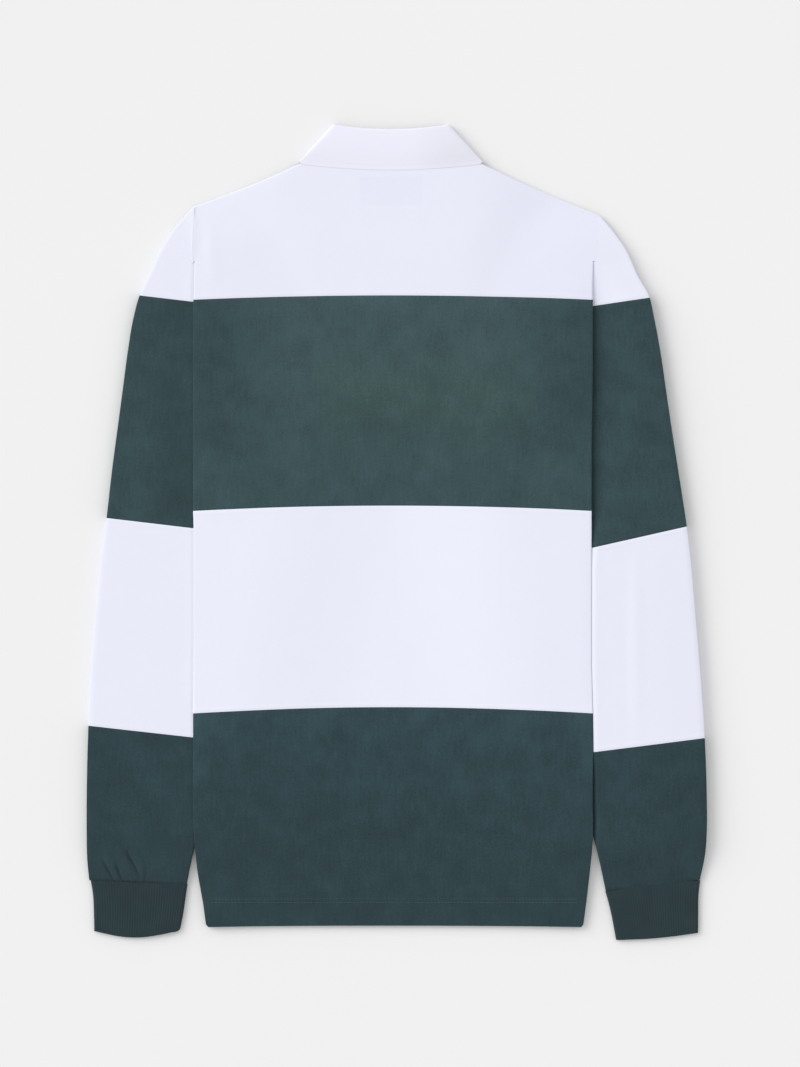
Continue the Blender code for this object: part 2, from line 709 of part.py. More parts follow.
def flat_ring(ends, ways, cloth, skin, top_steps=RUN_STEPS, rise=0.0):
    """One skin of a flattened tube's ring: over the top from the outer end to the inner, and back below.

    ends are the flat run's outer and inner end, and ways are the directions in which the half rounds
    there bulge. cloth is (wall, ply). skin is 1 for the outside and -1 for the inside. rise lifts every
    second point of the outside as a rib, but not where the ring lies on the floor.
    """
    wall, ply = cloth
    outer, inner = ends
    outer_way, inner_way = ways
    middle = wall / 2 + ply / 2
    reach = ply / 2 + skin * wall / 2
    ring = []

    def ribbed(step):
        return reach + (rise if step % 2 and skin > 0 else 0.0)

    for step in range(top_steps):
        flat = outer.lerp(inner, step / top_steps)
        ring.append((flat.x, flat.y, middle + ribbed(step)))
    for step in range(FOLD_STEPS):
        angle = math.pi * step / FOLD_STEPS
        flat = inner + inner_way * ribbed(step) * math.sin(angle)
        ring.append((flat.x, flat.y, middle + ribbed(step) * math.cos(angle)))
    for step in range(RUN_STEPS):
        flat = inner.lerp(outer, step / RUN_STEPS)
        ring.append((flat.x, flat.y, middle - reach))
    for step in range(FOLD_STEPS):
        angle = math.pi * step / FOLD_STEPS
        flat = outer + outer_way * ribbed(step) * math.sin(angle)
        ring.append((flat.x, flat.y, middle - ribbed(step) * math.cos(angle)))
    return ring


def tube(name, outside_rings, inside_rings, finish):
    """A closed wall between two skins, each a list of rings, open at both ends of the tube."""
    bm = bmesh.new()
    skins = [
        [[bm.verts.new(point_at(*point)) for point in ring] for ring in rings]
        for rings in (outside_rings, inside_rings)
    ]
    outside_skin, inside_skin = skins
    loop = outside_skin + inside_skin[::-1]
    count = len(loop[0])
    for near, far in zip(loop, loop[1:] + loop[:1]):
        for i in range(count):
            j = (i + 1) % count
            bm.faces.new((near[i], near[j], far[j], far[i]))
    return make_object(name, bm, finish)


def step_towards(ring, other, distance):
    """A ring moved a distance towards another one, point by point."""
    moved = []
    for here, there in zip(ring, other):
        run = Vector(there) - Vector(here)
        moved.append(tuple(Vector(here) + run.normalized() * distance))
    return moved


def trimmed(rings, low, high):
    """The rings from low to high, with half a seam taken off at each end that is a seam."""
    picked = rings[low : high + 1]
    first = step_towards(picked[0], picked[1], SEAM / 2) if low > 0 else picked[0]
    last = step_towards(picked[-1], picked[-2], SEAM / 2)
    return [first, *picked[1:-1], last]


def sleeve(rows, side, label):
    """A sleeve's blocks, each a flattened tube between two marked rings."""
    outer = [Vector((side * row[1], row[2])) for row in rows]
    inner = [Vector((side * row[3], row[4])) for row in rows]
    outer_in = outline_normals(outer, inner)
    inner_in = outline_normals(inner, outer)
    depth = FOLD + CLOTH / 2
    skins = []
    for skin in (1, -1):
        rings = []
        for i in range(len(rows)):
            ends = (outer[i] + outer_in[i] * depth, inner[i])
            ways = (-outer_in[i], -inner_in[i])
            rings.append(flat_ring(ends, ways, (CLOTH, PLY), skin))
        skins.append(rings)
    marks = [i for i, row in enumerate(rows) if row[0]]
    finishes = (("cap", WHITE), ("green_upper", GREEN), ("white_middle", WHITE), ("green_lower", GREEN))
    for (block, finish), low, high in zip(finishes, marks, marks[1:]):
        outside_rings, inside_rings = (trimmed(rings, low, high) for rings in skins)
        tube(f"sleeve_{label}_{block}", outside_rings, inside_rings, finish)


def cuff(rows, side, end, label):
    """A ribbed cuff, plain inside and where it lies on the floor."""
    depth = CUFF_PLY / 2 + RIB_CLOTH / 2
    seam_outer = Vector((side * rows[-1][1], rows[-1][2]))
    seam_inner = Vector((side * (rows[-1][3] - FOLD - CLOTH / 2), rows[-1][4]))
    end_outer, end_inner = (Vector((side * x, y)) for x, y in end)
    across = (end_inner - end_outer).normalized()
    down = ((end_outer + end_inner) - (seam_outer + seam_inner)).normalized()
    ribs = 2 * round((end_outer - end_inner).length / RIB_PITCH)
    skins = []
    for skin in (1, -1):
        rings = []
        for outer, inner in ((seam_outer + down * SEAM, seam_inner + down * SEAM), (end_outer, end_inner)):
            ends = (outer + across * depth, inner - across * depth)
            ways = (-across, across)
            rings.append(flat_ring(ends, ways, (RIB_CLOTH, CUFF_PLY), skin, ribs, RIB_RISE))
        skins.append(rings)
    tube(f"cuff_{label}", skins[0], skins[1], RIB)


# ---------------------------------------------------------------- whole shirt


def clear_scene():
    """Remove every object that is already there."""
    for item in list(bpy.data.objects):
        bpy.data.objects.remove(item, do_unlink=True)


def centre_on_origin():
    """Move the shirt so that its box is centred on the origin and stands on the floor."""
    depsgraph = bpy.context.evaluated_depsgraph_get()
    low = Vector((math.inf, math.inf))
    high = Vector((-math.inf, -math.inf))
    for item in bpy.data.objects:
        for vertex in item.evaluated_get(depsgraph).data.vertices:
            low = Vector((min(low.x, vertex.co.x), min(low.y, vertex.co.y)))
            high = Vector((max(high.x, vertex.co.x), max(high.y, vertex.co.y)))
    for item in bpy.data.objects:
        item.location = (-(low.x + high.x) / 2, -(low.y + high.y) / 2, 0.0)


def main():
    """Build the shirt."""
    clear_scene()
    body()
    collar()
    for rows, side, end, label in (
        (LEFT_SLEEVE, -1, LEFT_CUFF_END, "left"),
        (RIGHT_SLEEVE, 1, RIGHT_CUFF_END, "right"),
    ):
        sleeve(rows, side, label)
        cuff(rows, side, end, label)
    centre_on_origin()


if __name__ == "__main__":
    main()
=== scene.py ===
"""Rugby shirt laid flat, face down: the visual model.

The shirt lies on the floor with its back up. +X is to the right, +Y runs from the hem to the collar and
+Z is up. Lengths are in millimetres until a mesh is finished: x from the body's middle line, y up from
the hem's middle and z from the floor. Each class makes one part of the shirt and dresses it.
"""

import logging
import math
from collections.abc import Callable, Iterable, Sequence
from dataclasses import dataclass
from enum import Enum, IntEnum

import bmesh
import bpy
from bmesh.types import BMesh
from bpy.types import Material, NodeSocket, Object
from mathutils import Matrix, Vector, noise

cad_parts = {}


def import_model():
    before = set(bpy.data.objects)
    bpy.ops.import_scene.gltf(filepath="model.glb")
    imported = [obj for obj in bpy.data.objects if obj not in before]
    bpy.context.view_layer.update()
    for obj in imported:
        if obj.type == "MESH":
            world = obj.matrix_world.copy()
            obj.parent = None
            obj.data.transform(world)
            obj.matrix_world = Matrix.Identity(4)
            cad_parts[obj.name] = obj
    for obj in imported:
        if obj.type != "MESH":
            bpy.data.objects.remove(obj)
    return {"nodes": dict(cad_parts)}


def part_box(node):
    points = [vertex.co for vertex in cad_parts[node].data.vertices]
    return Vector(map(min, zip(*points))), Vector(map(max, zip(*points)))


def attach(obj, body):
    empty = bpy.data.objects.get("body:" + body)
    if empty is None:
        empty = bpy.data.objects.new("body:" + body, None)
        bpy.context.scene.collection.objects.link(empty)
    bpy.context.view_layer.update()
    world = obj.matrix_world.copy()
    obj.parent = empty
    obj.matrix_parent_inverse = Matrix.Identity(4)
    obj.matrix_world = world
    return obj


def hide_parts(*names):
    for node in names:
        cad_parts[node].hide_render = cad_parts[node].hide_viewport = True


log = logging.getLogger("rugby_shirt")

MM = 0.001
Colour = tuple[float, float, float]
Row = tuple[float, float, float]
Pair = tuple[float, float]
Height = Callable[[float], float]
Place = Callable[[float, float], Vector]

CLOTH = 1.2             # wall of the jersey
PLY = 2.0               # from one lying layer's middle to the next
SEAM = 0.3              # between two sewn pieces of the solids
STITCHED = 0.06         # between two sewn pieces here
FOLD = PLY / 2          # radius of a pressed fold's middle
SEAM_DIP = (0.18, 0.9)              # how deep the cloth goes down at a seam, and over what width
ALLOWANCE = (0.14, 2.2, 1.1)        # the ridge of its pressed allowance: rise, distance and width
WAVES = ((0.55, 95.0, 1.7), (0.22, 34.0, 5.1))      # each layer's height, size and seed
SQUARENESS = 0.6        # the power that makes a pressed fold's outside squarer than a half circle
COLLAR_MIDDLE = -2.7    # the collar's middle line
FIRST_BUTTON = (COLLAR_MIDDLE, 608.0)
BEYOND = 0.001          # a wall's closing columns lie this far past its last ones


class Side(IntEnum):
    """A side of the shirt, which is also the sign of its x."""

    LEFT = -1
    RIGHT = 1

    @classmethod
    def of(cls, x: float) -> "Side":
        """The side on which a place lies."""
        return cls.RIGHT if x > 0 else cls.LEFT

    @property
    def label(self) -> str:
        """Its word in a piece's name."""
        return self.name.lower()


def lerp(a: float, b: float, share: float) -> float:
    """A value between a and b."""
    return a + (b - a) * share


def clamp(value: float, low: float = 0.0, high: float = 1.0) -> float:
    """The value, kept between low and high."""
    return min(max(value, low), high)


def ease(share: float) -> float:
    """A soft step from 0 to 1."""
    t = clamp(share)
    return t * t * (3.0 - 2.0 * t)


def bell(offset: float, width: float) -> float:
    """1 in the middle, falling off softly over about a width."""
    return math.exp(-((offset / width) ** 2))


def squarer(value: float, power: float) -> float:
    """A sine or cosine, closer to 1 or -1 where the power is under 1."""
    return math.copysign(abs(value) ** power, value)


def from_table(rows: Sequence[tuple[float, ...]], place: float, column: int = 1) -> float:
    """A value from a table whose first column rises.

    Args:
        rows: the table.
        place: where to read it, in its first column.
        column: the one to read.

    Returns:
        The value.
    """
    if place <= rows[0][0]:
        return rows[0][column]
    for low, high in zip(rows, rows[1:]):
        if place <= high[0]:
            return lerp(low[column], high[column], (place - low[0]) / (high[0] - low[0]))
    return rows[-1][column]


def steps(low: float, high: float, pitch: float) -> list[float]:
    """Values from low to high, evenly spaced at about a pitch."""
    count = max(1, round(abs(high - low) / pitch))
    return [lerp(low, high, i / count) for i in range(count + 1)]


def joined(*runs: Iterable[float]) -> list[float]:
    """Runs of values put end to end, sorted, without repeats."""
    return sorted({round(value, 5) for run in runs for value in run})


def mirrored(values: Iterable[float]) -> list[float]:
    """Sorted values together with their opposites."""
    half = list(values)
    return joined(half, [-value for value in half])


def edge_rows(length: float, pitch: float) -> list[float]:
    """Shares of a length at which rows lie: fine next to both seams, at a pitch between them."""
    near, away = (0.0, 0.4, 0.9, 1.6, 2.6, 4.0), 6.0
    inner = steps(away, length - away, pitch)
    return [value / length for value in joined(near, inner, [length - value for value in near])]


def to_segment(x: float, y: float, start: Pair, end: Pair) -> tuple[float, float]:
    """A point's distance from a straight stretch, and the nearest place's share of the way along it."""
    dx, dy = end[0] - start[0], end[1] - start[1]
    share = clamp(((x - start[0]) * dx + (y - start[1]) * dy) / (dx * dx + dy * dy))
    return math.hypot(x - start[0] - dx * share, y - start[1] - dy * share), share


def outside(x: float, y: float, corners: Sequence[Pair]) -> float:
    """How far a point lies outside a closed outline, and 0 within it.

    Args:
        x: the point's x.
        y: and its y.
        corners: the outline's corners.

    Returns:
        The distance.
    """
    inside = False
    nearest = math.inf
    before = corners[-1]
    for corner in corners:
        nearest = min(nearest, to_segment(x, y, before, corner)[0])
        (px, py), (cx, cy) = before, corner
        if (cy > y) != (py > y) and x < cx + (px - cx) * (y - cy) / (py - cy):
            inside = not inside
        before = corner
    return 0.0 if inside else nearest


# ---- relief


@dataclass(frozen=True)
class Crease:
    """A soft ridge (height above 0) or valley along a line of points, fading out at its ends."""

    points: tuple[Pair, ...]
    width: float
    height: float
    fade: float = 0.5

    def at(self, x: float, y: float) -> float:
        """The crease's height at a point.

        Args:
            x: the point's x.
            y: and its y.

        Returns:
            The height, 0 far away.
        """
        reach = 3.0 * self.width
        for value, along_axis in ((x, [p[0] for p in self.points]), (y, [p[1] for p in self.points])):
            if not min(along_axis) - reach < value < max(along_axis) + reach:
                return 0.0
        nearest, along, run = math.inf, 0.0, 0.0
        for start, end in zip(self.points, self.points[1:]):
            length = math.dist(start, end)
            distance, share = to_segment(x, y, start, end)
            if distance < nearest:
                nearest, along = distance, run + share * length
            run += length
        ends = math.sin(math.pi * clamp(along / run, 0.02, 0.98)) ** self.fade
        return self.height * ends * bell(nearest, self.width)


def seam_dip(distance: float) -> float:
    """How far the cloth rises at a distance from a seam: down next to it, up over its allowance."""
    rise, away, width = ALLOWANCE
    return rise * bell(distance - away, width) - SEAM_DIP[0] * bell(distance, SEAM_DIP[1])


def undulation(x: float, y: float, size: float, seed: float) -> float:
    """Waves of a rough size, from 0 to about 1, as cloth that was smoothed by hand keeps."""
    return 0.5 + 0.5 * noise.noise(Vector((x / size, y / size, seed)))


def waves(x: float, y: float) -> float:
    """The whole shirt's gentle waves."""
    return sum(height * undulation(x, y, size, seed) for height, size, seed in WAVES)


# ---- the body's form


@dataclass(frozen=True)
class BodyForm:
    """The flattened body: its outline, its block seams and how it rises over what lies under it."""

    half: float = 183.6
    side_seam: float = 143.0
    hem_dip: float = 1.2
    hem_drop: float = 0.4
    hem_taper: float = 9.8
    taper_run: float = 100.0
    taper_power: float = 1.35
    corner: Pair = (1.5, 2.6)
    side_top: float = 611.0
    tip_left: Pair = (184.5, 661.5)
    tip_right: Pair = (189.5, 653.4)
    shoulder_start: float = 0.4
    shoulder_droop: float = 1.5
    yoke_seam: Pair = (575.6, 579.8)
    white_seam: Pair = (381.8, 386.7)
    green_seam: Pair = (196.0, 201.5)
    neck_back: float = 701.0
    neck_rise: float = 1.6
    neck_side: Pair = (79.4, 703.0)
    neck_front: float = 622.3
    armhole_low: Pair = (185.5, 611.0)
    armhole_high_left: Pair = (184.4, 661.4)
    armhole_high_right: Pair = (189.4, 653.4)
    edge_left: tuple[Pair, ...] = ((0, -1.2), (20, -1.2), (52, 0.7), (70, 0.9), (590, 0.9), (611, 0))
    edge_right: tuple[Pair, ...] = (
        (0, 0), (80, 0.1), (95, -0.6), (110, -1.2), (140, -1), (165, -0.5), (200, -1),
        (240, -2.1), (440, -2.1), (510, -1.1), (590, -1), (611, 0),
    )
    sleeve_raise: float = 4.5
    collar_raise: float = 2.3
    raise_margin: float = 6.0
    collar_run: float = 90.0
    sleeve_run: float = 120.0
    side_run: float = 75.0
    side_start: float = 700.0
    under_collar: tuple[Pair, ...] = (
        (18, 490), (52, 598), (88, 706), (60, 745), (-60, 745), (-88, 706), (-52, 598), (-18, 490),
    )
    under_left: tuple[Pair, ...] = (
        (184.1, 595), (183.8, 589), (182.6, 584), (179.4, 578.5), (174.4, 572.6), (164.4, 556),
        (147.4, 528), (128.4, 486), (119.4, 448), (120.4, 405), (131.1, 359.8), (137.9, 318),
        (146.4, 262), (155.9, 208), (163.4, 171.8), (170.4, 130), (180.4, 84), (203.6, 80),
        (203.6, 597),
    )
    under_right: tuple[Pair, ...] = (
        (184.1, 595), (183.8, 589), (182.6, 584), (179.4, 577.5), (173.4, 568.8), (163.9, 553),
        (146.9, 524), (128.4, 482), (119.4, 438), (117.4, 400), (120.9, 334.5), (125.9, 300),
        (137.4, 245), (150.4, 196), (162.4, 158), (172.4, 114), (180.9, 83), (203.6, 79),
        (203.6, 597),
    )

    def seam_height(self, seam: Pair, x: float) -> float:
        """A block seam's height at x: a shallow arch over the body."""
        return seam[1] + (seam[0] - seam[1]) * (x / self.half) ** 2

    def hem_height(self, x: float) -> float:
        """The hem's height at x."""
        return self.hem_dip * (1.0 - (x / self.half) ** 2) - self.hem_drop

    def blocks(self) -> list[tuple[str, Height, Height]]:
        """The three blocks from the hem up: the end of their names and both edges' heights at x."""
        gap = STITCHED / 2

        def seam(pair: Pair, shift: float) -> Height:
            """A seam's height at x, with a shift."""
            return lambda x: self.seam_height(pair, x) + shift

        return [
            ("green_lower", self.hem_height, seam(self.green_seam, -gap)),
            ("white_middle", seam(self.green_seam, gap), seam(self.white_seam, -gap)),
            ("green_upper", seam(self.white_seam, gap), seam(self.yoke_seam, -gap)),
        ]

    def tip(self, side: int) -> Pair:
        """A shoulder tip's distance from the middle and its height."""
        return self.tip_right if side > 0 else self.tip_left

    def edge(self, side: int, y: float) -> float:
        """The folded side's distance from the middle line: it wanders a little and tapers to the hem."""
        above = max(y, 0.0)
        taper = self.hem_taper * max(1.0 - above / self.taper_run, 0.0) ** self.taper_power
        taper += self.corner[0] * max(1.0 - above / self.corner[1], 0.0) ** 2
        return self.half + from_table(self.edge_right if side > 0 else self.edge_left, y) - taper

    def flat_half(self, side: int, y: float) -> float:
        """From the middle line to where the flat run ends, a fold's depth inside the body's edge."""
        edge = self.edge(side, y)
        if y > self.side_top:
            tip_x, tip_y = self.tip(side)
            edge = lerp(self.half, tip_x, (y - self.side_top) / (tip_y - self.side_top))
        return edge - FOLD - CLOTH / 2

    def armhole(self, side: int, y: float) -> float:
        """The armhole seam's distance from the middle at height y."""
        low, high = self.armhole_low, self.armhole_high_right if side > 0 else self.armhole_high_left
        return lerp(low[0], high[0], (y - low[1]) / (high[1] - low[1]))

    def shoulder_height(self, x: float) -> float:
        """The shoulder's outline at x, from the collar's side to the tip, with a slight droop."""
        side = Side.of(x)
        tip_x, tip_y = self.tip(side)
        neck_x, neck_y = self.neck_side[0] + side * COLLAR_MIDDLE, self.neck_side[1] - self.shoulder_start
        share = (abs(x) - neck_x) / (tip_x - neck_x)
        return lerp(neck_y, tip_y, share) - self.shoulder_droop * math.sin(math.pi * clamp(share))

    def back_neck(self, x: float) -> float:
        """The back neckline's height at x from the collar's middle."""
        return self.neck_back - SEAM + self.neck_rise * min(abs(x) / self.neck_side[0], 1.0) ** 6

    def front_neck(self, x: float) -> float:
        """The front neckline's height at x from the collar's middle: the lower half of an ellipse."""
        across = max(abs(x) - 1.0, 0.0) / (self.neck_side[0] - 1.0 + SEAM)
        depth = self.neck_side[1] - self.neck_front + SEAM
        return self.neck_side[1] - depth * math.sqrt(max(1.0 - across ** 2, 0.0))

    def lift(self, x: float, y: float) -> float:
        """How far the body lies above the floor, over what is under it.

        Args:
            x: the point's x.
            y: and its height above the hem.

        Returns:
            The lift.
        """
        over_sleeve = outside(abs(x), y, self.under_right if x > 0 else self.under_left)
        sleeve = 1.0 - ease((over_sleeve - self.raise_margin) / self.sleeve_run)
        sleeve *= self.sleeve_raise * ease((self.side_start - y) / self.side_run)
        over_collar = outside(x - COLLAR_MIDDLE, y, self.under_collar)
        collar = self.collar_raise * (1.0 - ease((over_collar - self.raise_margin) / self.collar_run))
        return (sleeve ** 4 + collar ** 4) ** 0.25


BODY = BodyForm()


# ---- finishes


NOISE_RANGE: Pair = (0.3, 0.7)      # nearly all of the noise lies between these


class Chart(Enum):
    """Where a cloth's pattern takes its directions from."""

    FLAT = "flat"           # the object's own X and Y, on a panel that lies flat
    SURFACE = "surface"     # the piece's own map, in metres across and along the cloth


class NodeTree:
    """Adds nodes to one material and links them."""

    def __init__(self, name: str) -> None:
        """Starts the material with an empty Principled surface."""
        self.material = bpy.data.materials.new(name)
        self.material.use_nodes = True
        self.tree = self.material.node_tree
        self.shader = self.tree.nodes["Principled BSDF"]

    def add(self, kind: str, inputs: dict, **settings: object) -> bpy.types.Node:
        """A new node.

        Args:
            kind: the node's type name.
            inputs: a value or a socket for each input, by name or place.
            settings: the node's own properties.

        Returns:
            The node.
        """
        node = self.tree.nodes.new(kind)
        for name, value in settings.items():
            setattr(node, name, value)
        for key, value in inputs.items():
            if isinstance(value, NodeSocket):
                self.tree.links.new(value, node.inputs[key])
            else:
                node.inputs[key].default_value = value
        return node

    def math(self, operation: str, *values: object) -> NodeSocket:
        """One step of arithmetic on sockets and numbers."""
        return self.add("ShaderNodeMath", dict(enumerate(values)), operation=operation).outputs[0]

    def wave(self, operation: str, value: NodeSocket, turns: float = 1.0) -> NodeSocket:
        """The SINE or COSINE of a value that counts turns."""
        return self.math(operation, self.math("MULTIPLY", value, turns * math.tau))

    def split(self, place: NodeSocket) -> Sequence[NodeSocket]:
        """A place's X, Y and Z."""
        return self.add("ShaderNodeSeparateXYZ", {0: place}).outputs

    def noise(self, place: NodeSocket, scale: float | Row, detail: float) -> NodeSocket:
        """Smooth noise from 0 to 1 at a place, with a scale for all directions or for each."""
        if isinstance(scale, tuple):
            place = self.add("ShaderNodeMapping", {"Vector": place, "Scale": scale}).outputs[0]
            scale = 1.0
        inputs = {"Vector": place, "Scale": scale, "Detail": detail}
        return self.add("ShaderNodeTexNoise", inputs).outputs["Fac"]

    def place(self, chart: Chart) -> NodeSocket:
        """The coordinates that a chart reads."""
        if chart is Chart.SURFACE:
            return self.add("ShaderNodeUVMap", {}, uv_map="cloth").outputs[0]
        return self.add("ShaderNodeTexCoord", {}).outputs["Object"]

    def tone(self, colour: Colour, amount: float, value: NodeSocket) -> NodeSocket:
        """A colour that grows lighter and darker with a value.

        Args:
            colour: the middle colour.
            amount: the change of brightness from the middle, as a share.
            value: from 0 to 1.

        Returns:
            The colour's socket.
        """
        dark, light = ([channel * (1.0 + sign * amount) for channel in colour] + [1.0] for sign in (-1, 1))
        spread = self.add("ShaderNodeMapRange", {0: value, 1: NOISE_RANGE[0], 2: NOISE_RANGE[1]}).outputs[0]
        return self.add("ShaderNodeMix", {0: spread, 6: dark, 7: light}, data_type="RGBA").outputs[2]

    def bump(self, height: NodeSocket, distance: float, strength: float) -> None:
        """Raises the surface by a height from 0 to 1."""
        node = self.add("ShaderNodeBump", {"Height": height, "Distance": distance, "Strength": strength})
        self.tree.links.new(node.outputs[0], self.shader.inputs["Normal"])

    def surface(self, colour: NodeSocket, **values: float) -> Material:
        """Gives the surface its colour and the sockets that are the same all over."""
        self.tree.links.new(colour, self.shader.inputs["Base Color"])
        for name, value in values.items():
            self.shader.inputs[name.replace("_", " ")].default_value = value
        return self.material


@dataclass(frozen=True)
class Patch:
    """A rectangle of cloth with soft edges and a tint: several of them paint shade on the cloth, and one
    paints light.
    """

    across: Pair
    along: Pair
    tint: Colour
    edge: float

    def over(self, nodes: NodeTree, colour: NodeSocket) -> NodeSocket:
        """Tints a colour inside the rectangle.

        Args:
            nodes: the material's nodes.
            colour: the colour outside the rectangle.

        Returns:
            The tinted colour.
        """
        split = nodes.split(nodes.place(Chart.FLAT))
        shares = []
        for axis, (low, high) in enumerate((self.across, self.along)):
            off = nodes.math("ABSOLUTE", nodes.math("SUBTRACT", split[axis], (low + high) / 2))
            half = (high - low) / 2
            ramp = {0: off, 1: half + self.edge, 2: half - self.edge, 3: 0.0, 4: 1.0}
            shares.append(nodes.add("ShaderNodeMapRange", ramp, interpolation_type="SMOOTHSTEP").outputs[0])
        inputs = {0: nodes.math("MULTIPLY", *shares), 6: colour, 7: [*self.tint, 1.0]}
        return nodes.add("ShaderNodeMix", inputs, data_type="RGBA", blend_type="MULTIPLY").outputs[2]


@dataclass(frozen=True)
class Finish:
    """What every finish has: a colour that varies a little, patches of other tints, some of which are painted
    shade and painted light, and a sheen.
    """

    name: str
    colour: Colour
    slot: str
    patches: tuple[Patch, ...] = ()
    variation: float = 0.03
    roughness: float = 0.6
    specular: float = 0.5
    sheen: float = 0.0
    sheen_roughness: float = 0.5

    def material(self, chart: Chart) -> Material:
        """The finish, made once for each chart.

        Args:
            chart: where it takes its directions from.

        Returns:
            The material.
        """
        name = f"{self.name} {chart.value}"
        if name in bpy.data.materials:
            return bpy.data.materials[name]
        nodes = NodeTree(name)
        colour = nodes.tone(self.colour, self.variation, self.weave(nodes, nodes.place(chart)))
        for patch in self.patches:
            colour = patch.over(nodes, colour)
        return nodes.surface(
            colour, Roughness=self.roughness, Specular_IOR_Level=self.specular, Sheen_Weight=self.sheen,
            Sheen_Roughness=self.sheen_roughness,
        )

    def weave(self, nodes: NodeTree, place: NodeSocket) -> NodeSocket:
        """Raises the surface at a place, and returns what its tone follows, from 0 to 1.

        Args:
            nodes: the material's nodes.
            place: the cloth's coordinates.

        Returns:
            What the tone follows, from 0 to 1.
        """
        raise NotImplementedError


@dataclass(frozen=True)
class Jersey(Finish):
    """Cotton jersey: columns of small V stitches, faint streaks along them and a soft fuzz."""

    roughness: float = 0.9
    specular: float = 0.2
    sheen: float = 0.12
    sheen_roughness: float = 0.55
    wale: float = 1.25 * MM
    course: float = 0.95 * MM
    depth: float = 0.10 * MM
    strength: float = 0.28

    def weave(self, nodes: NodeTree, place: NodeSocket) -> NodeSocket:
        """Stitches whose legs slant away from each column's middle.

        Args:
            nodes: the material's nodes.
            place: the cloth's coordinates.

        Returns:
            The streaks, patches and grain, mixed.
        """
        split = nodes.split(place)
        across = nodes.math("FRACT", nodes.math("DIVIDE", split[0], self.wale))
        off_middle = nodes.math("ABSOLUTE", nodes.math("SUBTRACT", across, 0.5))
        row = nodes.math("DIVIDE", split[1], self.course)
        leg = nodes.wave("SINE", nodes.math("SUBTRACT", row, off_middle))
        height = nodes.math("MULTIPLY_ADD", leg, 0.28, 0.5)
        groove = nodes.wave("COSINE", off_middle, 2.0)
        nodes.bump(nodes.math("MULTIPLY_ADD", groove, -0.22, height), self.depth, self.strength)
        streaks = nodes.noise(place, (380.0, 60.0, 1.0), 3.0)
        grain = nodes.noise(place, (600.0, 520.0, 1.0), 1.0)
        patches = nodes.noise(nodes.place(Chart.FLAT), 45.0, 4.0)
        mixed = nodes.math("MULTIPLY_ADD", streaks, 0.26, nodes.math("MULTIPLY", patches, 0.42))
        return nodes.math("MULTIPLY_ADD", grain, 0.32, mixed)


@dataclass(frozen=True)
class Twill(Finish):
    """Woven collar cloth: fine diagonal ridges."""

    variation: float = 0.015
    roughness: float = 0.85
    specular: float = 0.2
    sheen: float = 0.05
    pitch: float = 0.8 * MM
    depth: float = 0.08 * MM
    strength: float = 0.35

    def weave(self, nodes: NodeTree, place: NodeSocket) -> NodeSocket:
        """Diagonal ridges with slubs in their yarn, and broad, soft tones.

        Args:
            nodes: the material's nodes.
            place: the cloth's coordinates.

        Returns:
            The tones.
        """
        split = nodes.split(place)
        run = nodes.math("DIVIDE", nodes.math("ADD", split[0], split[1]), self.pitch)
        ridge = nodes.math("MULTIPLY_ADD", nodes.wave("SINE", run), 0.4, 0.5)
        slub = nodes.noise(place, (900.0, 120.0, 1.0), 2.0)
        nodes.bump(nodes.math("MULTIPLY_ADD", slub, 0.4, ridge), self.depth, self.strength)
        return nodes.noise(nodes.place(Chart.FLAT), 14.0, 3.0)


@dataclass(frozen=True)
class Rib(Finish):
    """Ribbed knit: the ribs are in the mesh, and each carries a column of small stitches."""

    variation: float = 0.08
    roughness: float = 0.92
    specular: float = 0.15
    sheen: float = 0.08
    sheen_roughness: float = 0.6
    course: float = 0.9 * MM
    depth: float = 0.08 * MM
    strength: float = 0.4

    def weave(self, nodes: NodeTree, place: NodeSocket) -> NodeSocket:
        """Rows of stitches with a fuzzy grain, and soft tones."""
        row = nodes.wave("SINE", nodes.split(place)[1], 1.0 / self.course)
        grain = nodes.math("MULTIPLY", nodes.noise(place, 2600.0, 2.0), 0.6)
        nodes.bump(nodes.math("MULTIPLY_ADD", row, 0.25, grain), self.depth, self.strength)
        return nodes.noise(nodes.place(Chart.FLAT), 60.0, 3.0)


@dataclass(frozen=True)
class Grained(Finish):
    """A finish whose surface and tone both follow one fine grain: twisted thread or dusty rubber."""

    scale: float | Row = 900.0
    detail: float = 3.0
    depth: float = 0.03 * MM
    strength: float = 0.3

    def weave(self, nodes: NodeTree, place: NodeSocket) -> NodeSocket:
        """The grain."""
        grain = nodes.noise(place, self.scale, self.detail)
        nodes.bump(grain, self.depth, self.strength)
        return grain


def white(name: str, *patches: Patch, colour: Colour = (0.745, 0.757, 0.864)) -> Jersey:
    """A white jersey."""
    return Jersey(name, colour, "white_jersey", patches, variation=0.008, sheen=0.05)


def green(name: str, colour: Colour, variation: float, *patches: Patch) -> Jersey:
    """A green jersey."""
    return Jersey(name, colour, "green_jersey", patches, variation=variation)


def thread(name: str, colour: Colour, slot: str) -> Grained:
    """Sewing thread: a twisted strand."""
    return Grained(
        name, colour, slot, variation=0.1, roughness=0.6, sheen=0.1, scale=(3500.0, 1400.0, 3500.0),
        detail=1.0, depth=0.05 * MM, strength=0.5,
    )


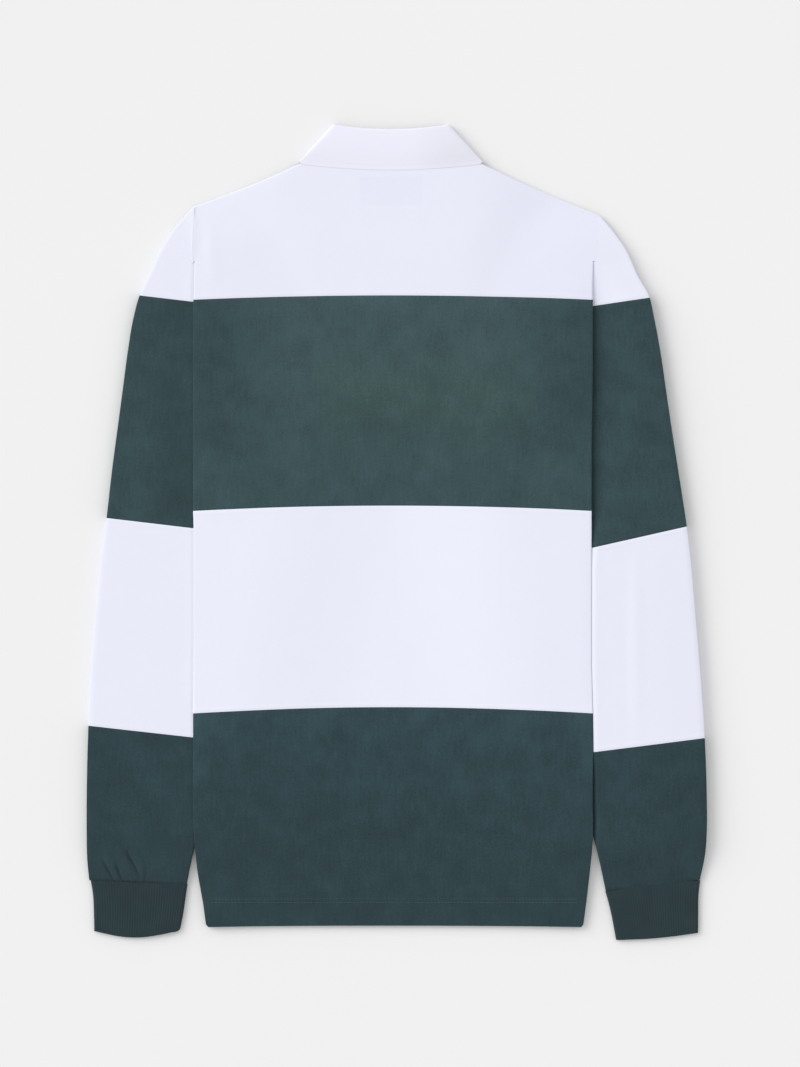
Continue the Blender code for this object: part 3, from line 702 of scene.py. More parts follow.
GREEN_DYE: Colour = (0.0265, 0.0535, 0.0600)
WIDE: Pair = (-0.50, 0.50)
BESIDE_BODY: Pair = (0.05, 0.1845)
SHADED: Colour = (0.74, 0.75, 0.75)
# Painted shade: the right side of the white cloth, away from the key light, is tinted a little darker.
PAINTED_SHADE_RIGHT = Patch((0.10, 0.40), (-1.0, 1.0), (0.980, 0.980, 0.984), 0.060)
WHITE = white("white jersey", PAINTED_SHADE_RIGHT)
WHITE_BODY = white("bright white jersey", PAINTED_SHADE_RIGHT, colour=(0.760, 0.770, 0.876))
YOKE_WHITE = white(
    "yoke jersey",
    # Painted shade: the blank label under the back shows faintly through the thin cloth as a slightly darker
    # rectangle.
    Patch((-0.0339, 0.0233), (0.2999, 0.3260), (0.980, 0.980, 0.989), 1.5 * MM),
    # Painted shade: the yoke's right side, away from the key light, is tinted darker.
    Patch((0.08, 0.40), (0.10, 0.50), (0.965, 0.966, 0.975), 0.040),
)
GREEN = green("dark green jersey", GREEN_DYE, 0.30)
SLEEVE_GREEN = green(
    "sleeve green jersey", GREEN_DYE, 0.30,
    Patch((-0.50, -0.05), (-1.0, 1.0), (0.895,) * 3, 0.020),
    Patch((-0.50, -0.2195), (-1.0, 1.0), (1.20,) * 3, 0.024),
    Patch(BESIDE_BODY, (-0.008, 0.50), SHADED, 0.012),
)
# The upper block's green, with a painted pool of light in its middle, lighter bands along its lower and upper
# edges and a yellower spot.
GREEN_PAINTED_LIGHT = green(
    "green jersey with painted light", (0.0276, 0.0550, 0.0618), 0.27,
    # Painted light: the middle of the upper green block is tinted much lighter, as a pool of light.
    Patch((-0.130, 0.125), (0.086, 0.50), (1.45, 1.34, 1.33), 0.048),
    Patch(WIDE, (-0.50, 0.075), (1.23, 1.215, 1.215), 0.025),
    Patch(WIDE, (0.200, 0.50), (1.06,) * 3, 0.015),
    Patch((-0.080, 0.122), (0.080, 0.162), (0.99, 1.0, 0.91), 0.030),
)
GREEN_LOW = green(
    "deep green jersey", (0.0190, 0.0418, 0.0491), 0.31,
    Patch(WIDE, (-0.235, 0.50), (1.19, 1.18, 1.18), 0.070),
    Patch(WIDE, (-0.1765, 0.50), (1.09, 1.07, 1.09), 0.009),
    Patch((-0.50, -0.174), (-0.240, 0.50), (1.16,) * 3, 0.014),
    Patch((0.167, 0.50), (-0.232, 0.50), (1.15,) * 3, 0.014),
)
SLEEVE_LOW = green(
    "deep sleeve green jersey", (0.0184, 0.0405, 0.0476), 0.31,
    Patch(WIDE, (-0.250, 0.50), (1.08,) * 3, 0.050),
    Patch(BESIDE_BODY, (-0.260, 0.50), SHADED, 0.012),
)
RIB = Rib("dark green rib", (0.0178, 0.0334, 0.0390), "green_rib")
COLLAR_TWILL = Twill(
    "white collar twill", (0.774, 0.771, 0.878), "white_collar",
    # Painted shade: the collar's right end, which turns away from the key light, is tinted greyer.
    (Patch((0.032, 0.120), (0.30, 0.40), (0.955, 0.955, 0.94), 0.020),),
)
LABEL_TWILL = Twill("pale label twill", (0.70, 0.71, 0.78), "white_jersey", pitch=0.5 * MM)
WHITE_THREAD = thread("white thread", (0.80, 0.80, 0.86), "white_jersey")
GREEN_THREAD = thread("green thread", (0.040, 0.070, 0.078), "green_jersey")
BUTTON_RUBBER = Grained("white button rubber", (0.72, 0.72, 0.74), "button_white", roughness=0.55)


# ---- making pieces


@dataclass
class Workroom:
    """Finishes meshes as pieces of the shirt."""

    origin: Vector
    sharp: float = math.radians(55.0)

    def finish(
        self, name: str, bm: BMesh, finish: Finish, chart: Chart = Chart.FLAT, wall: float = 0.0
    ) -> Object:
        """Turns a mesh in millimetres into a piece in the shirt's frame.

        Args:
            name: the piece's name.
            bm: the mesh, which is freed.
            finish: its finish.
            chart: where the finish takes its directions from.
            wall: the wall that a middle surface gets, or 0 for a mesh that has its wall.

        Returns:
            The piece.
        """
        bmesh.ops.remove_doubles(bm, verts=bm.verts, dist=0.0005)
        bmesh.ops.dissolve_degenerate(bm, edges=bm.edges, dist=0.0002)
        bmesh.ops.recalc_face_normals(bm, faces=bm.faces)
        bmesh.ops.scale(bm, verts=bm.verts, vec=(MM, MM, MM))
        bmesh.ops.translate(bm, verts=bm.verts, vec=self.origin)
        piece = linked(name, bm)
        if wall:
            self.thicken(piece, wall)
        piece.data.materials.append(finish.material(chart))
        piece.data.shade_smooth()
        piece.data.set_sharp_from_angle(angle=self.sharp)
        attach(piece, "root")
        log.info("%s: %d faces", name, len(piece.data.polygons))
        return piece

    def cloth(
        self, node: str, bm: BMesh, finish: Finish, flat: Pair, wall: float = 0.0, held: str = "laid",
        kind: str = "cloth", **more: object,
    ) -> None:
        """Makes the sewn piece that takes a solid's place.

        Args:
            node: the solid's name.
            bm: the mesh, which is freed.
            finish: its finish.
            flat: the cut's width and length in metres; not used.
            wall: as finish takes it.
            held: how it is held; not used.
            kind: the last word of the piece's name.
            more: the cut's area and what the piece rests on; not used.
        """
        piece = self.finish(f"{node}_{kind}", bm, finish, Chart.SURFACE, wall)
        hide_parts(node)

    @staticmethod
    def thicken(piece: Object, wall: float) -> None:
        """Gives a middle surface its wall, half to each side.

        Args:
            piece: the surface.
            wall: its wall in millimetres.
        """
        solidify = piece.modifiers.new("wall", "SOLIDIFY")
        solidify.thickness = wall * MM
        solidify.offset = 0.0
        solidify.use_even_offset = True
        seen = piece.evaluated_get(bpy.context.evaluated_depsgraph_get())
        mesh = bpy.data.meshes.new_from_object(seen)
        piece.modifiers.clear()
        piece.data = mesh
        mesh.name = piece.name

    def shell(
        self, bm: BMesh, columns: Sequence[float], shares: Sequence[float],
        place: Callable[[float, float, int], Vector], chart: Place,
    ) -> None:
        """Adds a wall with both its skins, closed along its rows' first and last edges.

        Args:
            bm: the mesh.
            columns: each column's value.
            shares: each row's value.
            place: the point in millimetres for a column, a row and a skin: 1 outside, -1 inside.
            chart: the map's point in millimetres for a column and a row.
        """
        count = len(shares)
        loop = [*range(count), *range(2 * count - 1, count - 1, -1), 2 * count]

        def unpack(row: float) -> tuple[float, int]:
            """A grid row's share and skin."""
            index = round(row) % (2 * count)
            return shares[index % count], 1 if index < count else -1

        self.grid(
            bm, columns, [float(value) for value in loop],
            lambda column, row: place(column, *unpack(row)),
            lambda column, row: chart(column, unpack(row)[0]),
        )

    @staticmethod
    def grid(bm: BMesh, columns: Sequence[float], rows: Sequence[float], place: Place, chart: Place) -> None:
        """Adds a grid of cloth and puts it in place.

        Args:
            bm: the mesh.
            columns: each column's value.
            rows: each row's value.
            place: the point in millimetres for a column's and a row's value.
            chart: the map's point in millimetres for them, across and along the cloth.
        """
        layer = bm.loops.layers.uv.get("cloth") or bm.loops.layers.uv.new("cloth")
        last_column, last_row = len(columns) - 1, len(rows) - 1
        verts = bmesh.ops.create_grid(bm, x_segments=last_column, y_segments=last_row, size=1.0)["verts"]
        charted = {}
        for vertex in verts:
            column = columns[round((vertex.co.x + 1.0) / 2.0 * last_column)]
            row = rows[round((vertex.co.y + 1.0) / 2.0 * last_row)]
            charted[vertex] = (chart(column, row) * MM).to_2d()
            vertex.co = place(column, row)
        for face in {face for vertex in verts for face in vertex.link_faces}:
            for loop in face.loops:
                loop[layer].uv = charted[loop.vert]


def lying(length: float) -> Place:
    """The map of a flat cut of a length, from a column's x and a share of the length."""
    return lambda x, share: Vector((x, share * length, 0.0))


def linked(name: str, bm: BMesh) -> Object:
    """Frees a mesh and puts it into the scene as an object."""
    mesh = bpy.data.meshes.new(name)
    bm.to_mesh(mesh)
    bm.free()
    return add_to_scene(name, mesh)


def add_to_scene(name: str, data: bpy.types.ID) -> Object:
    """A new object in the scene for some data."""
    added = bpy.data.objects.new(name, data)
    bpy.context.scene.collection.objects.link(added)
    return added


# ---- back


@dataclass
class Back:
    """The back: three blocks with folded sides and the yoke above them."""

    room: Workroom
    pitch: float = 4.0
    fold_facets: int = 8
    turn_facets: int = 6
    shoulder_round: float = 0.75
    shoulder_slope: float = 1.1
    turn_run: float = 15.0
    shoulder_column: float = 80.6
    hem_fold: float = 24.0
    hem_rise: float = 0.45
    hem_run: float = 2.0
    armhole_steps: int = 4
    armhole_ridge: Pair = (0.40, 3.0)   # how far the left armhole's seam stands up, and over what width
    armhole_run: float = 4.0
    edge_run: float = 10.0          # the waves fade out over this before the turned edge
    neck_columns: tuple[float, ...] = (73, 76, 78.5, 82, 84, 88, 92)    # beside the collar
    tip_columns: Pair = (180.0, 181.2)
    yoke_side: float = 35.0         # the height of the yoke's folded sides
    yoke_top: float = 85.0          # and from them to the shoulder
    calm_middle: float = 705.0      # round the collar the cloth lies calm:
    calm_oval: float = 1.3          # in an oval this much wider than high,
    calm_run: Pair = (55.0, 40.0)   # of this radius, and fading over this
    creases: tuple[Crease, ...] = (
        Crease(((-187, 657), (-178.5, 651), (-174.8, 636), (-174.8, 620)), 3, -0.5),
        Crease(((-182, 652), (-171, 636), (-166, 612), (-166, 585)), 6, 0.5),
        Crease(((-179, 380), (-160, 379), (-140, 372)), 5, 0.4),
        Crease(((150, 592), (165, 588), (178, 584)), 4, 0.5),
        Crease(((182, 205), (181, 300), (181.5, 392)), 4.6, -0.35, 0.25),
    )

    @property
    def limit(self) -> float:
        """The flat run's half width below the underarm."""
        return BODY.half - FOLD - CLOTH / 2

    def relief(self, x: float, y: float) -> float:
        """The top layer's own waves and creases, which never press it into the layer below."""
        away = math.hypot((x - COLLAR_MIDDLE) / self.calm_oval, y - self.calm_middle)
        full = ease((away - self.calm_run[0]) / self.calm_run[1])
        return full * (waves(x, y) + sum(crease.at(x, y) for crease in self.creases))

    def fitted(self, x: float, y: float) -> float:
        """A column's x at a height: near the side it follows the body's edge.

        Args:
            x: the column.
            y: the height above the hem.

        Returns:
            The x.
        """
        side = Side.of(x)
        seam = BODY.side_seam + SEAM
        outwards = max(0.0, (abs(x) - seam) / (self.limit - seam))
        inwards = 1.0 - ease((abs(x) - self.shoulder_column) / (seam - self.shoulder_column))
        edge = BODY.flat_half(side, min(y, BODY.tip(side)[1])) - self.limit
        return x + COLLAR_MIDDLE * inwards + side * edge * outwards

    def point(self, s: float, y: float, skin: int = 0) -> Vector:
        """A point of the body's cloth below the underarm.

        Args:
            s: the way along the cloth from the middle, round the folded side and back in under it.
            y: the height above the hem.
            skin: 1 for the cloth's outside, -1 for its inside and 0 for its middle.

        Returns:
            The point.
        """
        side = Side.of(s)
        past = abs(s) - self.limit
        turn = clamp(past / FOLD, 0.0, math.pi)
        reach = FOLD + skin * CLOTH / 2
        power = SQUARENESS if skin > 0 else 1.0
        if past <= 0.0:
            x = self.fitted(s, y)
        elif turn < math.pi:
            x = side * (BODY.flat_half(side, y) + reach * math.sin(turn) ** power)
        else:
            x = self.fitted(side * (self.limit - (past - math.pi * FOLD)), y)
        z = CLOTH / 2 + FOLD + squarer(math.cos(turn), power) * reach + BODY.lift(x, y)
        top = (1.0 + math.cos(turn)) / 2.0
        return Vector((x, y, z + top * (self.relief(x, y) + self.hem_step(y))))

    def hem_step(self, y: float) -> float:
        """The doubled hem stands a little higher, down from its stitching."""
        return self.hem_rise * (1.0 - ease((y - self.hem_fold) / self.hem_run + 0.5))

    def columns(self) -> list[float]:
        """The columns round the body, from side seam to side seam, by the way along the cloth."""
        near = [self.limit - value for value in (0.7, 1.5, 2.5)]
        turned = [self.limit + FOLD * math.pi * i / self.fold_facets for i in range(self.fold_facets + 1)]
        under = self.limit - BODY.side_seam - SEAM / 2
        below = steps(turned[-1], turned[-1] + under, 10.0)
        return joined(steps(-self.limit, self.limit, self.pitch), mirrored(near + turned + below))

    def block(self, name: str, low: Height, high: Height, finish: Jersey) -> None:
        """One block of the back below the yoke.

        Args:
            name: the end of its name.
            low: the lower edge's height at x.
            high: the upper edge's height at x.
            finish: its jersey.
        """
        length = high(0.0) - low(0.0)
        columns = self.columns()
        last = max(columns)

        def place(s: float, share: float, skin: int) -> Vector:
            """A point of the block's wall."""
            across = min(abs(s), self.limit)
            y = lerp(low(across), high(across), share)
            point = self.point(s, y, skin if abs(s) <= last else 0)
            turn = clamp((abs(s) - self.limit) / (math.pi * FOLD))
            from_low = math.inf if low == BODY.hem_height else share * length
            point.z += seam_dip(min(from_low, (1.0 - share) * length)) * (1.0 - turn)
            return point

        bm = bmesh.new()
        ends = (-last - BEYOND, last + BEYOND)
        self.room.shell(bm, joined(columns, ends), edge_rows(length, self.pitch), place, lying(length))
        flat = (2.0 * last * MM, length * MM)
        self.room.cloth(f"back_{name}", bm, finish, flat=flat, rests_on=[f"front_{name}_cloth"])

    def across(self, x: float, y: float) -> float:
        """A yoke column's x at height y: beyond the flat run's end it goes on to the armhole seam."""
        if abs(x) <= self.limit:
            return self.fitted(x, y)
        side = Side.of(x)
        end = side * (BODY.armhole(side, y) - STITCHED)
        return lerp(self.fitted(side * self.limit, y), end, (abs(x) - self.limit) / self.armhole_steps)

    def yoke_edge(self, x: float, neck: Height) -> tuple[float, float, float]:
        """Where a yoke's column ends.

        Args:
            x: the column.
            neck: the neckline's height at x from the collar's middle.

        Returns:
            The flat run's end, the turned edge's whole turn, and the edge's height at the neckline.
        """
        if abs(x) <= self.shoulder_column:
            relative = self.fitted(x, BODY.side_top) - COLLAR_MIDDLE
            inside = abs(x) < self.shoulder_column
            edge = neck(relative) if inside else BODY.neck_side[1] - 2.0 * FOLD
            return edge - FOLD, 0.0, edge
        turn = math.pi / 2 * min(1.0, (abs(x) - self.shoulder_column) / self.turn_run)
        edge = BODY.shoulder_height(self.across(x, BODY.tip_left[1])) - self.shoulder_slope * CLOTH / 2
        return edge - self.shoulder_slope * self.shoulder_round * math.sin(turn), turn, edge

    def yoke_point(self, x: float, row: float, front: bool = False) -> Vector:
        """A point of a yoke's middle surface.

        Args:
            x: the column.
            row: 0 to 1 up to the underarm, 1 to 2 up to the turned edge and 2 to 3 round it.
            front: whether it is the front's yoke, whose shoulder turns up and not down.

        Returns:
            The point.
        """
        start = BODY.seam_height(BODY.yoke_seam, min(abs(x), self.limit)) + STITCHED / 2
        flat, turn, edge = self.yoke_edge(x, BODY.front_neck if front else BODY.back_neck)
        y = lerp(start, BODY.side_top, row) if row <= 1.0 else lerp(BODY.side_top, flat, min(row - 1.0, 1.0))
        across = self.across(x, y)
        z = CLOTH / 2 + (0.0 if front else PLY) + BODY.lift(across, y)
        if not front:
            z += self.relief(across, y) * ease((flat - y) / self.edge_run) + seam_dip(y - start)
            z += self.armhole_seam(across, y)
        if row > 2.0:
            share, bent = row - 2.0, 0.75
            if turn == 0.0:
                y = lerp(flat, edge, share)
            else:
                way = 1.0 if front else -1.0
                bend = turn * min(share / bent, 1.0)
                last = (FOLD - STITCHED - self.shoulder_round) * max(share - bent, 0.0) / (1.0 - bent)
                y += self.shoulder_slope * self.shoulder_round * math.sin(bend) + last * math.cos(turn)
                z += way * (self.shoulder_round * (1.0 - math.cos(bend)) + last * math.sin(turn))
            across = self.across(x, y)
        return Vector((across, y, z))

    def armhole_seam(self, x: float, y: float) -> float:
        """The left armhole's low ridge; the right one is pressed flat."""
        if x > 0.0:
            return 0.0
        off = BODY.armhole(Side.LEFT, y) - abs(x)
        rise, width = self.armhole_ridge
        return rise * bell(off, width) * ease((y - BODY.side_top) / self.armhole_run)

    def yoke_columns(self) -> list[float]:
        """A yoke's columns in one half, from the middle to the flat run's end."""
        inner = steps(0.0, self.neck_columns[0], self.pitch)
        outer = steps(self.neck_columns[-1], self.limit, self.pitch)
        return joined(inner, self.neck_columns, (self.shoulder_column,), outer, self.tip_columns)

    def armhole_columns(self) -> list[float]:
        """The columns from the flat run's end to the armhole seam."""
        return [self.limit + i for i in range(self.armhole_steps + 1)]

    def yoke(self) -> None:
        """The yoke: folded sides below the underarm, armhole edges above it, and a turned shoulder."""
        start = BODY.yoke_seam[0]
        low = edge_rows(BODY.side_top - start, self.pitch)
        high = [1.0 + share for share in steps(0.0, 1.0, self.pitch / self.yoke_top)]
        turned = [2.0 + i / self.turn_facets for i in range(self.turn_facets + 1)]
        slant = SEAM * self.fold_facets / 2
        bm = bmesh.new()

        def chart(x: float, row: float) -> Vector:
            """A point of the cloth's map."""
            return Vector((x, self.yoke_point(x, row).y - start, 0.0))

        def side_place(s: float, share: float) -> Vector:
            """A point of a folded side."""
            turn = min((abs(s) - self.limit) / (math.pi * FOLD), 1.0)
            bottom = BODY.seam_height(BODY.yoke_seam, self.limit) + STITCHED / 2
            y = lerp(bottom, BODY.side_top - slant * turn, share)
            point = self.point(s, y)
            point.z += seam_dip(y - bottom) * (1.0 - turn)
            return point

        self.room.grid(bm, mirrored(self.yoke_columns()), joined(low, high, turned), self.yoke_point, chart)
        folded = [s for s in self.columns() if s >= self.limit - 1e-4]
        for side in Side:
            self.room.grid(bm, sorted(side * s for s in folded), low, side_place, lying(self.yoke_side))
            armhole = sorted(side * x for x in self.armhole_columns())
            self.room.grid(bm, armhole, joined(high, turned), self.yoke_point, chart)
        under = [f"front_yoke_{side.label}_cloth" for side in Side]
        self.room.cloth(
            "back_yoke", bm, YOKE_WHITE, flat=(0.448, 0.127), wall=CLOTH, area=0.0455, rests_on=under
        )

    def build(self) -> None:
        """All the back's pieces."""
        for (name, low, high), finish in zip(BODY.blocks(), (GREEN_LOW, WHITE_BODY, GREEN_PAINTED_LIGHT)):
            self.block(name, low, high, finish)
        self.yoke()


# ---- front


@dataclass
class Front:
    """The hidden front: plain blocks from side seam to side seam, two yokes and the placket between."""

    room: Workroom
    back: Back
    pitch: float = 9.0
    slot_half: float = 15.3
    placket_half: float = 15.0
    placket_foot: float = 472.0
    placket_length: float = 150.0
    seam_column: float = BODY.side_seam - SEAM / 2      # the last one, next to the side seam

    def block(self, name: str, low: Height, high: Height, finish: Jersey, slot: float = 1.0) -> None:
        """One block of the front.

        Args:
            name: the end of its name.
            low: the lower edge's height at x.
            high: the upper edge's height at x.
            finish: its jersey.
            slot: the share of its length at which the placket's slot begins.
        """
        length = high(0.0) - low(0.0)
        pitch = self.pitch / length
        rows = joined(steps(0.0, slot, pitch), steps(slot, 1.0, pitch) if slot < 1.0 else ())

        def place(x: float, share: float) -> Vector:
            """A point of the block's middle surface."""
            y = lerp(low(x), high(x), share)
            across = self.back.fitted(x, y)
            return Vector((across, y, CLOTH / 2 + BODY.lift(across, y)))

        bm = bmesh.new()
        outer = steps(self.slot_half, self.seam_column, self.pitch)
        middle = (-self.slot_half, 0.0, self.slot_half)
        for columns, end in ((outer, 1.0), (sorted(-x for x in outer), 1.0), (middle, slot)):
            picked = [share for share in rows if share <= end + 1e-6]
            self.room.grid(bm, columns, picked, place, lying(length))
        area = (2.0 * self.seam_column * length - 2.0 * self.slot_half * (1.0 - slot) * length) * MM * MM
        flat = (2.0 * self.seam_column * MM, length * MM)
        self.room.cloth(f"front_{name}", bm, finish, flat=flat, wall=CLOTH, area=area)

    def yoke(self, side: Side) -> None:
        """One half of the front's yoke.

        Args:
            side: its side.
        """
        back, seam = self.back, self.seam_column
        half = [x for x in back.yoke_columns() if x > self.slot_half + 1.0]
        inner = joined((self.slot_half, seam), [x for x in half if x < seam - 1.0])
        outer = joined((seam,), [x for x in half if x > seam + 1.0], back.armhole_columns())
        low = steps(0.0, 1.0, 0.25)
        facets = back.turn_facets
        turned = [2.0 + i / facets for i in range(facets + 1)]
        high = joined([1.0 + share for share in steps(0.0, 1.0, 0.1)], turned)
        bm = bmesh.new()

        def place(x: float, row: float) -> Vector:
            """A point of the yoke's middle surface."""
            return back.yoke_point(x, row, front=True)

        def chart(x: float, row: float) -> Vector:
            """A point of the cloth's map."""
            return Vector((x, place(x, row).y, 0.0))

        for columns, rows in ((inner, joined(low, high)), (outer, high)):
            self.room.grid(bm, sorted(side * x for x in columns), rows, place, chart)
        self.room.cloth(f"front_yoke_{side.label}", bm, WHITE, flat=(0.172, 0.124), wall=CLOTH, area=0.0138)

    def placket(self) -> None:
        """The strip set into the front's slot."""
        bm = bmesh.new()
        columns = steps(-self.placket_half, self.placket_half, 5.0)

        def place(x: float, share: float) -> Vector:
            """A point of the strip's middle surface."""
            y = lerp(self.placket_foot, BODY.front_neck(x) - SEAM, share)
            return Vector((COLLAR_MIDDLE + x, y, CLOTH / 2 + BODY.lift(COLLAR_MIDDLE + x, y)))

        self.room.grid(bm, columns, steps(0.0, 1.0, 0.04), place, lying(self.placket_length))
        self.room.cloth("placket", bm, WHITE, flat=(0.030, 0.152), wall=CLOTH)

    def build(self) -> None:
        """All the front's pieces."""
        foot = (self.placket_foot - SEAM - BODY.white_seam[1]) / (BODY.yoke_seam[1] - BODY.white_seam[1])
        finishes, slots = (GREEN_LOW, WHITE, GREEN), (1.0, 1.0, foot)
        for (name, low, high), finish, slot in zip(BODY.blocks(), finishes, slots):
            self.block(name, low, high, finish, slot)
        for side in Side:
            self.yoke(side)
        self.placket()


# ---- sleeves


def section_of(around: float) -> tuple[int, float]:
    """Which of a tube's four sections a place is in, and the share of the way through it.

    Args:
        around: 0 to 1 over the top from the outer end, 1 to 2 round the inner fold, 2 to 3 below and
            3 to 4 round the outer fold.

    Returns:
        The section and the share.
    """
    section = int(min(around, 3.999))
    return section, around - section


def on_top(around: float) -> float:
    """How much of the top layer's relief a place round a tube has."""
    section, share = section_of(around)
    if section in (0, 2):
        return 1.0 - section / 2
    return (1.0 + math.cos(math.pi * (share if section == 1 else 1.0 - share))) / 2.0


def round_tube(top: Iterable[float], under: int, facets: int) -> list[float]:
    """A tube's columns: those on its top, how many are under it, and the facets of each fold."""
    below = [2.0 + i / under for i in range(under)]
    folds = [k + i / facets for k in (1.0, 3.0) for i in range(facets)]
    return joined(top, below, folds, (4.0,))


@dataclass
class Sleeve:
    """One sleeve: four blocks of a flattened tube, wider than its cuff and gathered into it."""

    room: Workroom
    side: Side
    rings: tuple[tuple[float, ...], ...]    # each the outer and the inner end of the flat run
    creases: tuple[Crease, ...]
    marks: tuple[int, ...] = (0, 7, 13, 17, 21)     # the rings at the seams
    pitch: float = 4.0
    fold_facets: int = 8
    top_columns: int = 36
    under_columns: int = 12
    gathers: Pair | None = None     # the shares of the top's width between which it is gathered
    tuck: float = 0.0               # how far under the body's rounded edge it comes up
    cliff: float = 0.12             # and within this it does
    slit: tuple[Row, ...] = ((0.0, 0.0, 1.0),)      # or slowly: height, share of the rise, run
    crest: tuple[Row, ...] = ((0.0, 0.0, 1.0),)     # height, a ridge's rise along the body's edge, its width
    seam_ridge: Pair = (0.0, 6.0)   # the rise next to the armhole seam, and its width
    swell: float = 0.0              # and it goes on rising by this over the swell's run
    swell_run: float = 70.0
    undercut: float = 2.0           # the lower layer's fold lies this far inside the upper's
    edge_columns: Pair = (0.60, 0.64)
    edge_steps: tuple[float, ...] = (0.004, 0.009, 0.015, 0.023, 0.034, 0.047)
    clear_run: Pair = (3.0, 15.0)   # the waves start over this beside the body, and past its ends
    clear_below: float = 80.0
    armhole_run: float = 4.0
    crest_end: Pair = (5.0, 20.0)   # above the underarm the crest fades out by here, over this
    under_run: Pair = (25.0, 8.0)
    gather_pitch: float = 1 / 150
    gather_rows: float = 1.2
    puff: float = 0.8               # how far it stands up where it is gathered
    puff_start: float = 2.2
    cuff_run: float = 42.0
    gather_run: float = 34.0
    lift_column: float = 195.0

    @property
    def last(self) -> int:
        """The last ring, at the cuff."""
        return len(self.rings) - 1

    def curve(self, t: float) -> tuple[Vector, Vector, Vector, Vector]:
        """The tube's flat run at a place along the table of rings.

        Args:
            t: the ring's number, with a share of the way to the next.

        Returns:
            The outer end, the inner end, and the directions in which the folds there bulge.
        """
        outer, outer_run = self.smooth(t, 0)
        inner, inner_run = self.smooth(t, 2)

        def bulge(run: Vector, away: Vector) -> Vector:
            """The way across a curve that leads outwards."""
            way = Vector((run.y, -run.x)).normalized()
            return way if way.dot(away) > 0 else -way

        outer_way = bulge(outer_run, outer - inner)
        return outer - outer_way * (FOLD + CLOTH / 2), inner, outer_way, bulge(inner_run, inner - outer)

    def smooth(self, t: float, first: int) -> tuple[Vector, Vector]:
        """A smooth curve through two columns of the table, and its direction.

        Args:
            t: the ring's number, with a share of the way to the next.
            first: the first of the two columns.

        Returns:
            The point and the direction.
        """
        points = [Vector((self.side * ring[first], ring[first + 1])) for ring in self.rings]
        i = min(int(t), self.last - 1)
        s = t - i

        def tangent(k: int) -> Vector:
            """The curve's direction at a ring."""
            if k in (0, self.last):
                start = min(k, self.last - 1)
                return (points[start + 1] - points[start]).normalized()
            before, after = points[k] - points[k - 1], points[k + 1] - points[k]
            return (before / before.length_squared + after / after.length_squared).normalized()

        a, b = points[i], points[i + 1]
        length = (b - a).length
        ta, tb = tangent(i) * length, tangent(i + 1) * length
        s2, s3 = s * s, s ** 3
        point = a * (2 * s3 - 3 * s2 + 1) + ta * (s3 - 2 * s2 + s) + b * (3 * s2 - 2 * s3) + tb * (s3 - s2)
        run = (a - b) * (6 * s2 - 6 * s) + ta * (3 * s2 - 4 * s + 1) + tb * (3 * s2 - 2 * s)
        return point, run

    def relief(self, x: float, y: float, along: float) -> float:
        """How the top layer stands over a pressed tube: beside the body it comes up to the body's height.

        Args:
            x: the point's x.
            y: and its height.
            along: how far it is from the cuff's seam.

        Returns:
            The rise over the pressed tube.
        """
        beside = abs(x) - BODY.edge(self.side, y) + self.tuck
        above = y - BODY.side_top
        side, ends = self.clear_run
        clear = max(ease(beside / side), ease(above / ends), ease((self.clear_below - y) / ends))
        rise = 1.0 - from_table(self.slit, y) * (1.0 - ease(beside / from_table(self.slit, y, 2)))
        up = max(rise * ease(beside / self.cliff), ease((above + 1.0) / self.armhole_run))
        extra = from_table(self.crest, y) * bell(beside, from_table(self.crest, y, 2))
        extra += self.swell * ease(beside / self.swell_run)
        extra *= ease((self.crest_end[0] - above) / self.crest_end[1])
        loft = up * ease(along / self.cuff_run) * (self.body_lift(x, y) + extra)
        full = self.puff * ease(along / self.puff_start)
        full *= 1.0 - ease((along - self.puff_start) / self.gather_run)
        return loft + clear * (waves(x, y) + full + sum(crease.at(x, y) for crease in self.creases))

    def body_lift(self, x: float, y: float) -> float:
        """The body's lift at its edge beside a point of the sleeve."""
        return BODY.lift(self.side * min(abs(x), self.lift_column), y)

    def under_relief(self, x: float, y: float) -> float:
        """Above the underarm the lower layer comes up to the front at the armhole."""
        out, up = self.under_run
        near = 1.0 - ease((abs(x) - BODY.half - 1.0) / out)
        return self.body_lift(x, y) * ease((y - BODY.side_top) / up) * near

    def column(self, outer: Vector, inner: Vector, u: float) -> Vector:
        """A point of the flat run: some columns keep to the body's edge, whose shadow line is crisp.

        Args:
            outer: the run's outer end.
            inner: its inner end.
            u: the column, from 0 to 1.

        Returns:
            The point.
        """
        first, second = self.edge_columns
        width = max(abs(outer.x) - abs(inner.x), 1.0)
        last = 1.0 - 0.02 * (1.0 - second)      # the limits keep the columns apart where it leaves the body
        edge_y = lerp(outer.y, inner.y, clamp((abs(outer.x) - BODY.half) / width))
        edge = BODY.edge(self.side, edge_y) - self.tuck
        body = clamp((abs(outer.x) - edge) / width, 0.5, last)
        near = clamp(body - self.cliff / width, 0.4, last - 0.003)
        return outer.lerp(inner, from_table(((0.0, 0.0), (first, near), (second, body), (1.0, 1.0)), u))

